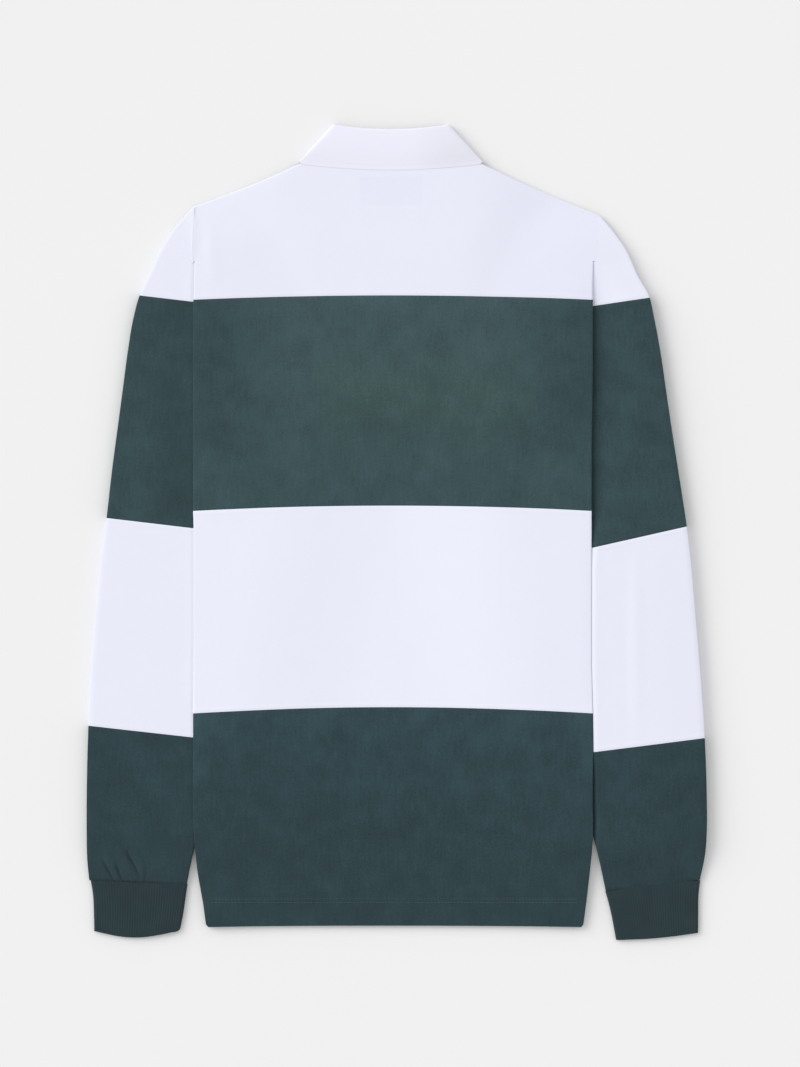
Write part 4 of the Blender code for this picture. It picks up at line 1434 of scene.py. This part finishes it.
    def point(self, around: float, t: float, skin: int) -> Vector:
        """A point of the tube's wall.

        Args:
            around: the place round the tube, as section_of takes it.
            t: the ring's number, with a share.
            skin: 1 for the outside and -1 for the inside.

        Returns:
            The point.
        """
        outer, inner, outer_way, inner_way = self.curve(t)
        reach = FOLD + skin * CLOTH / 2
        section, share = section_of(around)
        if section == 0:
            flat, rise = self.column(outer, inner, share), reach
        elif section == 2:
            flat, rise = inner.lerp(outer - outer_way * self.undercut, share), -reach
        else:
            power = SQUARENESS if skin > 0 else 1.0
            end, way, turn = (inner, inner_way, share) if section == 1 else (outer, outer_way, 1.0 - share)
            level = math.cos(math.pi * turn)
            flat = end + way * reach * abs(math.sin(math.pi * turn)) ** power
            if section == 3:
                flat -= way * self.undercut * (1.0 - level) / 2.0
            rise = squarer(level, power) * reach
        seam = self.rings[-1]
        along = flat.y - lerp(seam[1], seam[3], (abs(flat.x) - seam[0]) / (seam[2] - seam[0]))
        top = on_top(around)
        z = CLOTH / 2 + FOLD + rise + top * self.relief(flat.x, flat.y, along)
        return Vector((flat.x, flat.y, z + (1.0 - top) * self.under_relief(flat.x, flat.y)))

    def arounds(self, to_cuff: bool) -> list[float]:
        """The columns round the tube, closer together where it is gathered.

        Args:
            to_cuff: whether the block ends at the cuff.

        Returns:
            The places round the tube.
        """
        top = [i / self.top_columns for i in range(self.top_columns)]
        if to_cuff and self.gathers:
            low, high = self.gathers
            top = [share for share in top if not low <= share <= high] + steps(low, high, self.gather_pitch)
        top += [lerp(*self.edge_columns, i / 4) for i in range(5)]
        top += [self.edge_columns[0] - step for step in self.edge_steps]
        return round_tube(top, self.under_columns, self.fold_facets)

    def length_at(self, t: float) -> float:
        """The length along the sleeve's middle, up to a ring."""
        middles = [((ring[0] + ring[2]) / 2, (ring[1] + ring[3]) / 2) for ring in self.rings]
        runs = enumerate(zip(middles, middles[1:]))
        return sum(math.dist(here, there) * clamp(t - i) for i, (here, there) in runs)

    def rows(self, low: int, high: int) -> list[float]:
        """Rows from one seam to the next, as ring numbers, closer together next to them.

        Args:
            low: the ring at the upper seam.
            high: the ring at the lower seam.

        Returns:
            The rows.
        """
        base = self.length_at(low)
        length = self.length_at(high) - base
        shares = edge_rows(length, self.pitch)
        if high == self.last:
            fine = self.gather_run / length
            near = [share for share in shares if (1.0 - share) * length < 1.0]
            far = [share for share in shares if 1.0 - share > fine]
            shares = joined(far, steps(1.0 - fine, 1.0, self.gather_rows / length), near)
        table = [(self.length_at(t), t) for t in (lerp(low, high, i / 200) for i in range(201))]
        inner = [from_table(table, base + share * length) for share in shares[1:-1]]
        return [float(low), *inner, float(high)]

    def block(self, name: str, low: int, high: int, finish: Jersey) -> None:
        """One block of the sleeve.

        Args:
            name: the end of its name.
            low: the ring at its upper seam.
            high: the ring at its lower seam.
            finish: its jersey.
        """
        rows = self.rows(low, high)
        lengths = {row: self.length_at(row) for row in rows}
        start, end = lengths[rows[0]], lengths[rows[-1]]

        def place(around: float, row: float, skin: int) -> Vector:
            """A point of the block's wall."""
            point = self.point(around, row, skin)
            seam = seam_dip(min(lengths[row] - start if low else math.inf, end - lengths[row]))
            ridge = 0.0 if low else self.seam_ridge[0] * bell(lengths[row], self.seam_ridge[1])
            point.z += on_top(around) * (seam + ridge)
            return point

        def chart(around: float, row: float) -> Vector:
            """A point of the cloth's map."""
            across = abs(self.point(around, row, 1).x)
            return Vector((across if around <= 1.5 or around > 3.5 else -across, lengths[row], 0.0))

        bm = bmesh.new()
        self.room.shell(bm, self.arounds(to_cuff=high == self.last), rows, place, chart)
        widths = [(outer - inner).length + math.pi * FOLD for outer, inner, *_ in map(self.curve, rows)]
        area = 2.0 * sum(widths) / len(widths) * (end - start) * MM * MM
        flat = (2.0 * max(widths) * MM, (end - start) * MM)
        self.room.cloth(
            f"sleeve_{self.side.label}_{name}", bm, finish, flat=flat, area=min(area, flat[0] * flat[1])
        )

    def build(self) -> None:
        """The sleeve's four blocks."""
        names = ("cap", "green_upper", "white_middle", "green_lower")
        finishes = (WHITE, SLEEVE_GREEN, WHITE, SLEEVE_LOW)
        for name, finish, low, high in zip(names, finishes, self.marks, self.marks[1:]):
            self.block(name, low, high, finish)


LEFT_CUFF_SEAM = Crease(((-276, 43), (-258, 42.1), (-236, 40.9), (-204, 39.4)), 0.9, -1.0, 0.6)
RIGHT_CUFF_SEAM = Crease(((281, 42.2), (262, 42.6), (235, 39.9), (197, 32.6)), 0.9, -0.8, 0.3)
LEFT_SLEEVE = {
    "rings": (
        (184.4, 661.4, 185.5, 614.5), (189.8, 655.8, 182.8, 607.5), (196, 649, 181.2, 601),
        (203.3, 640.3, 180.6, 595), (209, 631, 180.2, 589), (214.4, 621.9, 179.4, 584),
        (222.6, 603.5, 177.8, 578.5), (234, 580, 174.6, 572.6), (240.1, 557.5, 166, 556),
        (244.7, 529.9, 149, 528), (250, 490, 130, 486), (254.4, 457, 121, 448),
        (259.4, 419.5, 122, 405), (264.4, 375.4, 132.7, 359.8), (269.6, 336.7, 139.5, 318),
        (275.1, 281.5, 148, 262), (279.4, 226.3, 157.5, 208), (281.1, 184.7, 165, 171.8),
        (282.3, 143.5, 172, 130), (282.7, 88.3, 182, 84), (282.2, 60, 188.6, 56),
        (280.6, 42.3, 192.1, 38.6),
    ),
    "creases": (
        LEFT_CUFF_SEAM,
        Crease(((-267.5, 61), (-263.6, 53.8), (-260.4, 48), (-256.6, 42.4)), 1, -1.5, 0.35),
        Crease(((-263.5, 66), (-257, 54), (-253, 45.5)), 2.6, 0.6, 0.4),
        Crease(((-255, 56.5), (-252.6, 49.5), (-249.2, 42.2)), 1, -1.4, 0.35),
        Crease(((-250, 72), (-244.8, 58), (-241.5, 45)), 3, 0.6, 0.4),
        Crease(((-245, 70.5), (-241.6, 61.8), (-237.6, 55.2), (-233.6, 44.5)), 1.1, -1.6, 0.3),
        Crease(((-238, 72), (-231.5, 58), (-228.5, 46)), 3, 0.5, 0.4),
        Crease(((-228, 50), (-228.8, 41)), 1, -1, 0.3),
        Crease(((-215, 96), (-212, 70), (-211, 48)), 6, 0.5),
    ),
    "crest": (
        (196, -0.25, 20), (208, 0.20, 5), (372, 0.20, 5), (384, -0.25, 20), (566, -0.25, 20),
        (580, 0.20, 5),
    ),
    "gathers": (0.03, 0.42), "seam_ridge": (0.5, 6.0), "tuck": 0.6,
}
RIGHT_SLEEVE = {
    "rings": (
        (189.4, 653.4, 185.5, 614.5), (194.5, 647.8, 182.6, 607.5), (200.6, 640.3, 180.4, 601),
        (206.5, 632, 179, 595), (211.5, 625, 178.4, 589), (216, 616.5, 177.8, 584),
        (223.5, 599, 176.4, 577.5), (235.1, 577.8, 173.4, 568.8), (239.2, 559.4, 165.5, 553),
        (244.7, 529.9, 148.5, 524), (250.9, 488, 130, 482), (256.5, 450, 121, 438),
        (261.3, 419.5, 119, 400), (269.2, 367.5, 122.5, 334.5), (272.8, 336.7, 127.5, 300),
        (277.6, 281.5, 139, 245), (282.2, 226.3, 152, 196), (285.7, 173.5, 164, 158),
        (287.6, 115.9, 175, 114), (287.6, 88.3, 184.6, 83), (285.6, 62, 190.8, 58),
        (281.5, 42.3, 196.3, 32.2),
    ),
    "creases": (
        RIGHT_CUFF_SEAM,
        Crease(((221.7, 346), (221.7, 260), (222.5, 171)), 5, 0.5),
        Crease(((214, 350), (214, 260), (215, 171)), 5, -0.25),
        Crease(((206, 30), (228, 44), (262, 52)), 4, 0.5),
    ),
    "slit": (
        (107, 0.75, 6), (134, 0.6, 5), (165, 0.1, 4), (330, 0.1, 5), (350, 0.3, 6),
        (362, 0.7, 8), (373, 1, 13), (401, 1, 28), (428, 1, 40), (456, 1, 48),
        (511, 1, 54), (560, 0.9, 48), (590, 0.5, 28), (607, 0.15, 16), (611, 0, 12),
    ),
    "swell": 1.8,
}


# ---- cuffs


@dataclass
class Cuff:
    """A ribbed cuff: a flattened tube whose sides and end are a little bowed."""

    room: Workroom
    side: Side
    outer: tuple[Pair, ...]     # outline away from the body, from the seam to the end
    inner: tuple[Pair, ...]     # outline next to the body, from the seam to the end
    end_bow: float              # the end's middle hangs below its corners by this
    seam_bow: float             # and the seam's middle stands above its ends by this
    creases: tuple[Crease, ...]
    length: float = 50.0
    wall: float = 1.8
    ply: float = 2.2
    rib_pitch: float = 2.3
    rib_rise: float = 0.28
    rib_power: float = 0.7
    rib_columns: int = 6
    under_columns: int = 16
    fold_facets: int = 8
    rows_count: int = 26
    near_rows: tuple[float, ...] = (0.01, 0.025, 0.975, 0.985, 0.993)
    corner: float = 0.0         # radius of the end's corner next to the body
    corner_reach: float = 0.96
    loft: float = 0.35
    loft_share: float = 1.1
    seam_dip: Pair = (0.8, 1.6)     # how deep the seam lies, and over what width
    end_fall: Pair = (0.6, 1.4)     # how steeply the end goes down, and from how far before it

    def edge(self, points: tuple[Pair, ...], share: float) -> Vector:
        """A point of an outline, smooth between its points.

        Args:
            points: the outline.
            share: the share of the way along it.

        Returns:
            The point.
        """
        place = share * (len(points) - 1)
        i = min(int(place), len(points) - 2)
        before, a, b, after = (Vector(points[min(max(k, 0), len(points) - 1)]) for k in range(i - 1, i + 3))
        t = place - i
        point = a * 2 + (b - before) * t + (before * 2 - a * 5 + b * 4 - after) * t ** 2
        point = (point + (a * 3 - before - b * 3 + after) * t ** 3) / 2
        return Vector((self.side * point.x, point.y))

    @property
    def width(self) -> float:
        """The flat run's width halfway down the cuff."""
        return (self.edge(self.outer, 0.5) - self.edge(self.inner, 0.5)).length - self.ply - self.wall

    @property
    def ribs(self) -> int:
        """How many ribs cross the cuff."""
        return round(self.width / self.rib_pitch)

    def rib(self, share: float) -> float:
        """The ribs' height at a share of the way across."""
        return self.rib_rise * (0.5 - 0.5 * math.cos(math.tau * self.ribs * share)) ** self.rib_power

    def point(self, around: float, share: float, skin: int) -> Vector:
        """A point of the cuff's wall.

        Args:
            around: the place round the tube, as section_of takes it.
            share: the share of the way from the seam to the end.
            skin: 1 for the outside and -1 for the inside.

        Returns:
            The point.
        """
        outer, inner = self.edge(self.outer, share), self.edge(self.inner, share)
        to_end = (1.0 - share) * self.length
        if to_end < self.corner:
            past = 1.0 - to_end / self.corner
            inner.x += self.side * self.corner * (1.0 - math.sqrt(1.0 - past ** 2 * self.corner_reach))
        across = (inner - outer).normalized()
        outer += across * (self.ply + self.wall) / 2
        inner -= across * (self.ply + self.wall) / 2
        reach = self.ply / 2 + skin * self.wall / 2
        section, part = section_of(around)
        part = part if section in (0, 1) else 1.0 - part
        bow = 0.0
        if section in (0, 2):
            flat, bow = outer.lerp(inner, part), math.sin(math.pi * part)
            rise = -reach if section == 2 else reach + (self.rib(part) if skin > 0 else 0.0)
        else:
            end, way = (inner, across) if section == 1 else (outer, -across)
            flat, rise = end + way * reach * math.sin(math.pi * part), reach * math.cos(math.pi * part)
        flat.y += lerp(self.seam_bow, -self.end_bow, share) * bow
        swell = self.loft * math.sin(math.pi * min(share * self.loft_share, 1.0))
        swell -= self.seam_dip[0] * bell(share * self.length, self.seam_dip[1])
        swell -= self.end_fall[0] * max(self.end_fall[1] - to_end, 0.0)
        swell += sum(crease.at(flat.x, flat.y) for crease in self.creases)
        return Vector((flat.x, flat.y, (self.wall + self.ply) / 2 + rise + on_top(around) * swell))

    def build(self) -> None:
        """The cuff in one piece."""
        columns = self.rib_columns * self.ribs
        arounds = round_tube([i / columns for i in range(columns)], self.under_columns, self.fold_facets)
        shares = joined([i / self.rows_count for i in range(self.rows_count + 1)], self.near_rows)
        bm = bmesh.new()
        self.room.shell(
            bm, arounds, shares, self.point,
            lambda around, share: Vector((self.point(around, share, 1).x, share * self.length, 0.0)),
        )
        flat = (2.0 * (self.width + math.pi) * MM, self.length * MM)
        self.room.cloth(f"cuff_{self.side.label}", bm, RIB, flat=flat, kind="rib")


LEFT_CUFF = {
    "outer": ((278.8, 42.3), (276.6, 28), (275.8, 10), (275.6, -4.6)),
    "inner": ((189.9, 38.6), (191.8, 25), (194.4, 8), (197.2, -5.4)),
    "end_bow": 5.2, "seam_bow": 0.6, "corner": 6.5, "creases": (LEFT_CUFF_SEAM,),
}
RIGHT_CUFF = {
    "outer": ((281.5, 42.3), (279.9, 28), (279.7, 10), (279.5, -6)),
    "inner": ((194.3, 32.2), (197.4, 21), (200.4, 8), (204.2, -12.6)),
    "end_bow": 1.4, "seam_bow": 1.6,
    "creases": (
        RIGHT_CUFF_SEAM,
        Crease(((198, 29), (206, 25.5), (216, 22)), 2.2, 0.9),
        Crease(((199, 24.5), (207, 21), (217, 18.5)), 2.4, -0.7),
    ),
}


# ---- collar


class Part(IntEnum):
    """A part of the collar, in their order from the neckline."""

    STAND = 0
    ROLL = 1
    LEAF = 2


Station = tuple[Part, float, float]


@dataclass
class Collar:
    """The collar in one piece: stand, roll line and leaf, all round the neck."""

    room: Workroom
    wall: float = 1.6
    top: float = 736.6
    top_dip: float = 3.8
    roll_depth: float = 2.2
    top_half: float = 50.4
    leaf_side: Pair = (81.95, 700.3)
    leaf_middle: float = 695.1
    leaf_bulge: Pair = (5.0, -2.0)
    leaf_point: Pair = (47.0, 605.4)
    stand_end: float = 1.0
    roll_end: Pair = (5.0, 650.0)
    stand_rise: float = 0.3
    leaf_rise: float = 0.3
    edge_fall: float = 1.22
    edge_thinner: float = 1.3
    side_power: float = 0.45
    back_steps: int = 26
    fold_steps: int = 10
    front_steps: int = 26
    fall_from: float = 0.25     # the share of the leaf from which its edge comes down
    thinner_from: float = 0.6   # and from which it gets thinner
    side_fade: float = 0.5
    roll_squeeze: Pair = (0.4, 0.5)     # how much of the side's depth and the roll's is left where both meet
    heading_step: float = 0.02
    stand_steps: int = 6
    roll_steps: int = 8
    leaf_steps: int = 12
    last_row: float = 0.985     # a line next to the leaf's edge
    layer_gap: float = 200.0    # from the leaf to the stand in the cloth's map

    def stations(self) -> list[Station]:
        """The lines from the neckline over the roll to the leaf's edge: (part, share, turn)."""
        stand = [(Part.STAND, i / self.stand_steps, 0.0) for i in range(self.stand_steps + 1)]
        roll = [(Part.ROLL, 1.0, math.pi * i / self.roll_steps) for i in range(1, self.roll_steps)]
        leaf = [(Part.LEAF, i / self.leaf_steps, math.pi) for i in range(self.leaf_steps + 1)]
        return sorted(stand + roll + leaf + [(Part.LEAF, self.last_row, math.pi)])

    @staticmethod
    def quarter(start: Pair, end: Pair, share: float) -> Vector:
        """A quarter ellipse that leaves start downwards and reaches end level."""
        angle = share * math.pi / 2
        return Vector((lerp(end[0], start[0], math.cos(angle)), lerp(start[1], end[1], math.sin(angle))))

    def back_point(self, part: Part, share: float, across: float) -> Vector:
        """A point of the collar's back in plan, across from -1 to 1.

        Args:
            part: the part of the collar.
            share: the share of the way through it.
            across: the place across the back.

        Returns:
            The point.
        """
        dip = self.roll_depth + self.top_dip * (1.0 - across ** 2)
        top = Vector((across * self.top_half, self.top - dip))
        if part is Part.STAND:
            x = across * BODY.neck_side[0]
            return Vector((x, BODY.back_neck(x) + SEAM + self.stand_rise * across ** 6)).lerp(top, share)
        edge_y = lerp(self.leaf_middle, self.leaf_side[1], across ** 2)
        edge = Vector((across * self.leaf_side[0], edge_y))
        return top if part is Part.ROLL else top.lerp(edge, share)

    def front_point(self, part: Part, share: float, along: float) -> Vector:
        """A point of the collar's right front in plan, along from the side to the end.

        Args:
            part: the part of the collar.
            share: the share of the way through it.
            along: the place along the front, from 0 to 1.

        Returns:
            The point.
        """
        roll = self.quarter((self.top_half, self.top - self.roll_depth), self.roll_end, along)
        if part is Part.STAND:
            return self.quarter(BODY.neck_side, (self.stand_end, BODY.neck_front), along).lerp(roll, share)
        edge = Vector(self.leaf_side).lerp(Vector(self.leaf_point), along)
        edge += Vector(self.leaf_bulge) * math.sin(math.pi * along)
        return roll if part is Part.ROLL else roll.lerp(edge, share)

    def heading(self, along: float) -> Vector:
        """The way the front's roll line faces, into the neck's opening."""
        ahead = self.front_point(Part.ROLL, 1.0, min(along + self.heading_step, 1.0))
        behind = self.front_point(Part.ROLL, 1.0, max(along - self.heading_step, 0.0))
        run = (ahead - behind).normalized()
        return Vector((run.y, -run.x))

    def point(self, place: float, station: Station, skin: int) -> Vector:
        """A point of the collar's wall in its right half.

        Args:
            place: 0 to 1 across half the back, 1 to 2 round the folded side and 2 to 3 along the front.
            station: the line, as stations gives it.
            skin: 1 for one face of the cloth, -1 for the other and 0 for the middle, at its ends.

        Returns:
            The point, with x from the collar's middle.
        """
        part, share, turn = station
        front_z = CLOTH / 2 + BODY.collar_raise
        back_z = front_z + PLY
        back_roll, front_roll = PLY / 2, (front_z - self.wall / 2) / 2
        high = back_z + back_roll * (1.0 - math.cos(turn))
        low = front_z - front_roll * (1.0 - math.cos(turn))
        bulge = math.sin(turn)
        ahead, up = Vector((0.0, 1.0)), Vector((0.0, 0.0, 1.0))
        if place <= 1.0:
            heading, height, way = ahead, high, up
            flat = self.back_point(part, share, place) + heading * bulge * back_roll
        elif place < 2.0:
            mix = place - 1.0
            sine, cosine = math.sin(math.pi * mix), math.cos(math.pi * mix)
            run = self.back_point(Part.LEAF, 1.0, 1.0) - self.back_point(Part.ROLL, 1.0, 1.0)
            side_out = Vector((-run.y, run.x)).normalized()
            heading = ahead.lerp(self.heading(0.0), mix).normalized()
            flat = self.back_point(part, share, 1.0).lerp(self.front_point(part, share, 0.0), mix)
            radius = (high - low) / 2
            out = radius * sine ** self.side_power * lerp(1.0, self.roll_squeeze[0], bulge)
            roll = lerp(back_roll, front_roll, mix) * lerp(1.0, self.roll_squeeze[1], sine)
            flat = flat + side_out * out + heading * bulge * roll
            way = Vector((side_out.x * sine, side_out.y * sine, cosine))
            height = (high + low) / 2 + radius * squarer(cosine, self.side_power)
        else:
            heading, height, way = self.heading(place - 2.0), low, -up
            flat = self.front_point(part, share, place - 2.0) + heading * bulge * front_roll
        normal = way * math.cos(turn) - heading.to_3d() * math.sin(turn)
        wall = self.wall
        if part is Part.LEAF:
            wall -= self.edge_thinner * ease((share - self.thinner_from) / (1.0 - self.thinner_from))
            height += self.swell(share) * self.on_back(place)
        return Vector((flat.x, flat.y, height)) + normal * skin * wall / 2

    def on_back(self, place: float) -> float:
        """1 on the collar's back, fading to 0 round its side."""
        return 1.0 - ease((place - 1.0) / self.side_fade)

    def swell(self, share: float) -> float:
        """The leaf's back stands a little proud below its roll, and its edge comes down on the yoke."""
        fall = self.edge_fall * ease((share - self.fall_from) / (1.0 - self.fall_from))
        return self.leaf_rise * math.sin(math.pi * share) - fall

    def placed(self, place: float, station: Station, skin: int) -> Vector:
        """A point with the shirt's own x, whose place is below 0 in the left half."""
        point = self.point(abs(place), station, skin)
        return Vector((COLLAR_MIDDLE + Side.of(place) * point.x, point.y, point.z))

    def build(self) -> None:
        """The collar's mesh: both faces of the cloth in one grid that closes on itself."""
        stations = self.stations()
        counts = (self.back_steps, self.fold_steps, self.front_steps)
        right = joined(*(steps(k, k + 1.0, 1.0 / count) for k, count in enumerate(counts)))
        end = float(len(counts))

        def place(value: float, station: float, skin: int) -> Vector:
            """A point of the wall, whose ends are closed on its middle."""
            inside = clamp(value, -end, end)
            return self.placed(inside, stations[round(station)], skin if inside == value else 0)

        def chart(value: float, station: float) -> Vector:
            """A point of the cloth's map."""
            layer = 0.0 if stations[round(station)][0] is Part.LEAF else self.layer_gap
            point = place(value, station, 1)
            return Vector((point.x, point.y + layer, 0.0))

        bm = bmesh.new()
        columns = joined(mirrored(right), (-end - BEYOND, end + BEYOND))
        self.room.shell(bm, columns, [float(i) for i in range(len(stations))], place, chart)
        self.room.cloth(
            "collar", bm, COLLAR_TWILL, flat=(0.400, 0.085), held="folded", rests_on=["back_yoke_cloth"]
        )


# ---- small pieces


@dataclass
class Stitching:
    """Rows of small stitches laid on the cloth."""

    length: float = 2.3
    gap: float = 0.7
    radius: float = 0.22
    bend: float = 1.3       # how far the ends go down, in radii

    def row(self, bm: BMesh, path: Sequence[Vector]) -> None:
        """Adds a row of stitches along a path on the cloth's surface.

        Args:
            bm: the mesh.
            path: points close together along the row.
        """
        lengths = [0.0]
        for a, b in zip(path, path[1:]):
            lengths.append(lengths[-1] + (b - a).length)
        step = self.length + self.gap
        for k in range(int(lengths[-1] / step)):
            middle = k * step + step / 2
            i = next(n for n, reach in enumerate(lengths) if reach >= middle)
            a, b = path[i - 1], path[i]
            centre = a.lerp(b, (middle - lengths[i - 1]) / (lengths[i] - lengths[i - 1]))
            self.stitch(bm, centre, (b - a).normalized())

    def stitch(self, bm: BMesh, centre: Vector, run: Vector) -> None:
        """Adds one stitch: a short strand whose ends go down into the cloth.

        Args:
            bm: the mesh.
            centre: the stitch's middle.
            run: the way it runs.
        """
        before = len(bm.verts)
        made = bmesh.ops.create_cone(
            bm, cap_ends=True, segments=5, radius1=self.radius, radius2=self.radius, depth=self.length
        )["verts"]
        long_edges = {
            edge for vertex in made for edge in vertex.link_edges if edge.calc_length() > self.radius * 3
        }
        bmesh.ops.subdivide_edges(bm, edges=list(long_edges), cuts=2)
        bm.verts.ensure_lookup_table()
        verts = bm.verts[before:]
        turn = Vector((0.0, 0.0, 1.0)).rotation_difference(run).to_matrix().to_4x4()
        for vertex in verts:
            share = abs(vertex.co.z) / (self.length / 2)
            vertex.co = turn @ vertex.co
            vertex.co.z -= self.radius * self.bend * share ** 2
        bmesh.ops.translate(bm, verts=verts, vec=centre)


@dataclass
class Details:
    """Sewing, the blank neck label and the buttons."""

    room: Workroom
    back: Back
    collar: Collar
    above_cloth: float = 0.1
    hem_rows: Pair = (25.4, 22.2)
    hem_half: float = 174.0
    leaf_row: float = 0.87
    label_size: Pair = (57.0, 26.0)
    label_middle: Pair = (-2.75, 676.0)
    label_wall: float = 0.35
    label_depth: float = 0.28
    button_rows: tuple[float, ...] = (608.0, 560.0, 512.0)
    button_profile: tuple[Pair, ...] = (
        (0, 0.9), (3.2, 0.9), (3.9, 0.35), (4.9, 0), (5.6, 0.15), (6, 0.6), (6, 1.4), (5.6, 1.9),
        (4.6, 2), (0, 2),
    )
    thread_height: float = 0.75

    def hem_stitching(self) -> None:
        """Two parallel rows of stitches along the hem."""
        bm = bmesh.new()
        over = Vector((0.0, 0.0, CLOTH / 2 + self.above_cloth))
        for y in self.hem_rows:
            columns = steps(-self.hem_half, self.hem_half, 2.0)
            Stitching().row(bm, [self.back.point(x, y) + over for x in columns])
        self.room.finish("hem_stitching", bm, GREEN_THREAD)

    def collar_stitching(self) -> None:
        """One row along the collar leaf's edge."""
        bm = bmesh.new()
        over = Vector((0.0, 0.0, self.above_cloth))
        station = (Part.LEAF, self.leaf_row, math.pi)
        path = [self.collar.placed(across, station, -1) + over for across in steps(-1.0, 1.0, 0.03)]
        Stitching(length=1.9, radius=0.16).row(bm, path)
        self.room.finish("collar_stitching", bm, WHITE_THREAD)

    def label(self) -> None:
        """The blank label sewn inside the neck, under the back."""
        bm = bmesh.new()
        ranges = [
            steps(middle - size / 2, middle + size / 2, 4.0)
            for middle, size in zip(self.label_middle, self.label_size)
        ]
        self.room.grid(
            bm, *ranges, lambda x, y: Vector((x, y, PLY + BODY.lift(x, y) - self.label_depth)),
            lambda x, y: Vector((x, y, 0.0)),
        )
        piece = self.room.finish("neck_label", bm, LABEL_TWILL, wall=self.label_wall)

    def button(self, number: int, y: float) -> None:
        """A rubber button with a raised rim, and the thread that crosses its holes.

        Args:
            number: its number, from the top.
            y: its height above the hem.
        """
        bm = bmesh.new()
        profile = [bm.verts.new((r, 0.0, z)) for r, z in self.button_profile]
        edges = [bm.edges.new(pair) for pair in zip(profile, profile[1:])]
        bmesh.ops.spin(
            bm, geom=profile + edges, cent=(0, 0, 0), axis=(0, 0, 1), angle=math.tau, steps=32, use_merge=True
        )
        bmesh.ops.translate(bm, verts=bm.verts, vec=(COLLAR_MIDDLE, y, 0.0))
        piece = self.room.finish(f"button_{number}_rubber", bm, BUTTON_RUBBER)
        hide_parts(f"button_{number}")
        bm = bmesh.new()
        for degrees in (45.0, 135.0):
            turn = math.radians(degrees)
            run = Vector((math.cos(turn), math.sin(turn), 0.0))
            Stitching(length=3.0, radius=0.28).stitch(bm, Vector(), run)
        bmesh.ops.rotate(bm, verts=bm.verts, cent=(0, 0, 0), matrix=Matrix.Rotation(math.pi, 3, "X"))
        bmesh.ops.translate(bm, verts=bm.verts, vec=(COLLAR_MIDDLE, y, self.thread_height))
        self.room.finish(f"button_{number}_thread", bm, WHITE_THREAD)

    def build(self) -> None:
        """All the small pieces."""
        self.hem_stitching()
        self.collar_stitching()
        self.label()
        for number, y in enumerate(self.button_rows, start=1):
            self.button(number, y)


# ---- stage


@dataclass
class Stage:
    """The floor, the soft studio light and the camera, which looks straight down. Lengths are in metres."""

    camera_middle: Pair = (2.97 * MM, -1.93 * MM)
    camera_height: float = 3.0
    view_height: float = 0.9816
    sensor: float = 36.0
    clip: Pair = (0.1, 20.0)
    floor_half: float = 6.0
    floor_depth: float = 0.1 * MM
    floor_shade: float = 0.80
    fill_strength: float = 0.824
    key_energy: float = 1.84
    key_width: float = 40.0     # how wide the key light is seen, in degrees
    key_from: Pair = (150.0, 28.0)      # where it stands: degrees anticlockwise from +X, and up
    key_distance: float = 3.0

    def floor(self) -> None:
        """A wide, pale, matt floor."""
        bm = bmesh.new()
        bmesh.ops.create_grid(bm, x_segments=1, y_segments=1, size=self.floor_half)
        bmesh.ops.translate(bm, verts=bm.verts, vec=(0.0, 0.0, -self.floor_depth))
        floor = linked("floor", bm)
        nodes = NodeTree("pale floor")
        shade = nodes.tone((self.floor_shade,) * 3, 0.004, nodes.noise(nodes.place(Chart.FLAT), 3.0, 1.0))
        floor.data.materials.append(nodes.surface(shade, Roughness=0.95, Specular_IOR_Level=0.1))

    def light(self) -> None:
        """The key light: a wide, even softbox, far away."""
        lamp = bpy.data.lights.new("key", "SUN")
        lamp.energy = self.key_energy
        lamp.angle = math.radians(self.key_width)
        box = add_to_scene("key", lamp)
        turn, height = (math.radians(degrees) for degrees in self.key_from)
        level = math.cos(height)
        towards = Vector((math.cos(turn) * level, math.sin(turn) * level, math.sin(height)))
        box.rotation_euler = (-towards).to_track_quat("-Z", "Y").to_euler()
        box.location = towards * self.key_distance

    def world(self) -> None:
        """An even, neutral sky."""
        world = bpy.data.worlds.new("studio")
        world.use_nodes = True
        sky = world.node_tree.nodes["Background"].inputs
        sky["Color"].default_value = (1.0, 1.0, 1.0, 1.0)
        sky["Strength"].default_value = self.fill_strength
        bpy.context.scene.world = world

    def camera(self) -> None:
        """The camera, straight above."""
        data = bpy.data.cameras.new("camera")
        data.sensor_width = self.sensor
        data.lens = self.sensor * self.camera_height / self.view_height
        data.clip_start, data.clip_end = self.clip
        camera = add_to_scene("camera", data)
        camera.location = (*self.camera_middle, self.camera_height)
        bpy.context.scene.camera = camera

    def build(self) -> None:
        """The whole stage."""
        self.floor()
        self.camera()
        self.light()
        self.world()
        bpy.context.scene.view_settings.view_transform = "Standard"


def main() -> None:
    """Builds the stage and the shirt."""
    logging.basicConfig(level=logging.INFO, format="%(message)s")
    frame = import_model()
    log.info("frame: %d solids", len(frame["nodes"]))
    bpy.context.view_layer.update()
    low, high = (Vector(corner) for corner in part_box("button_1"))
    middle = (low + high) / 2
    origin = Vector((middle.x - FIRST_BUTTON[0] * MM, middle.y - FIRST_BUTTON[1] * MM, 0.0))
    Stage().build()
    room = Workroom(origin)
    back = Back(room)
    collar = Collar(room)
    back.build()
    Front(room, back).build()
    Sleeve(room, Side.LEFT, **LEFT_SLEEVE).build()
    Sleeve(room, Side.RIGHT, **RIGHT_SLEEVE).build()
    Cuff(room, Side.LEFT, **LEFT_CUFF).build()
    Cuff(room, Side.RIGHT, **RIGHT_CUFF).build()
    collar.build()
    Details(room, back, collar).build()


if __name__ == "__main__":
    main()
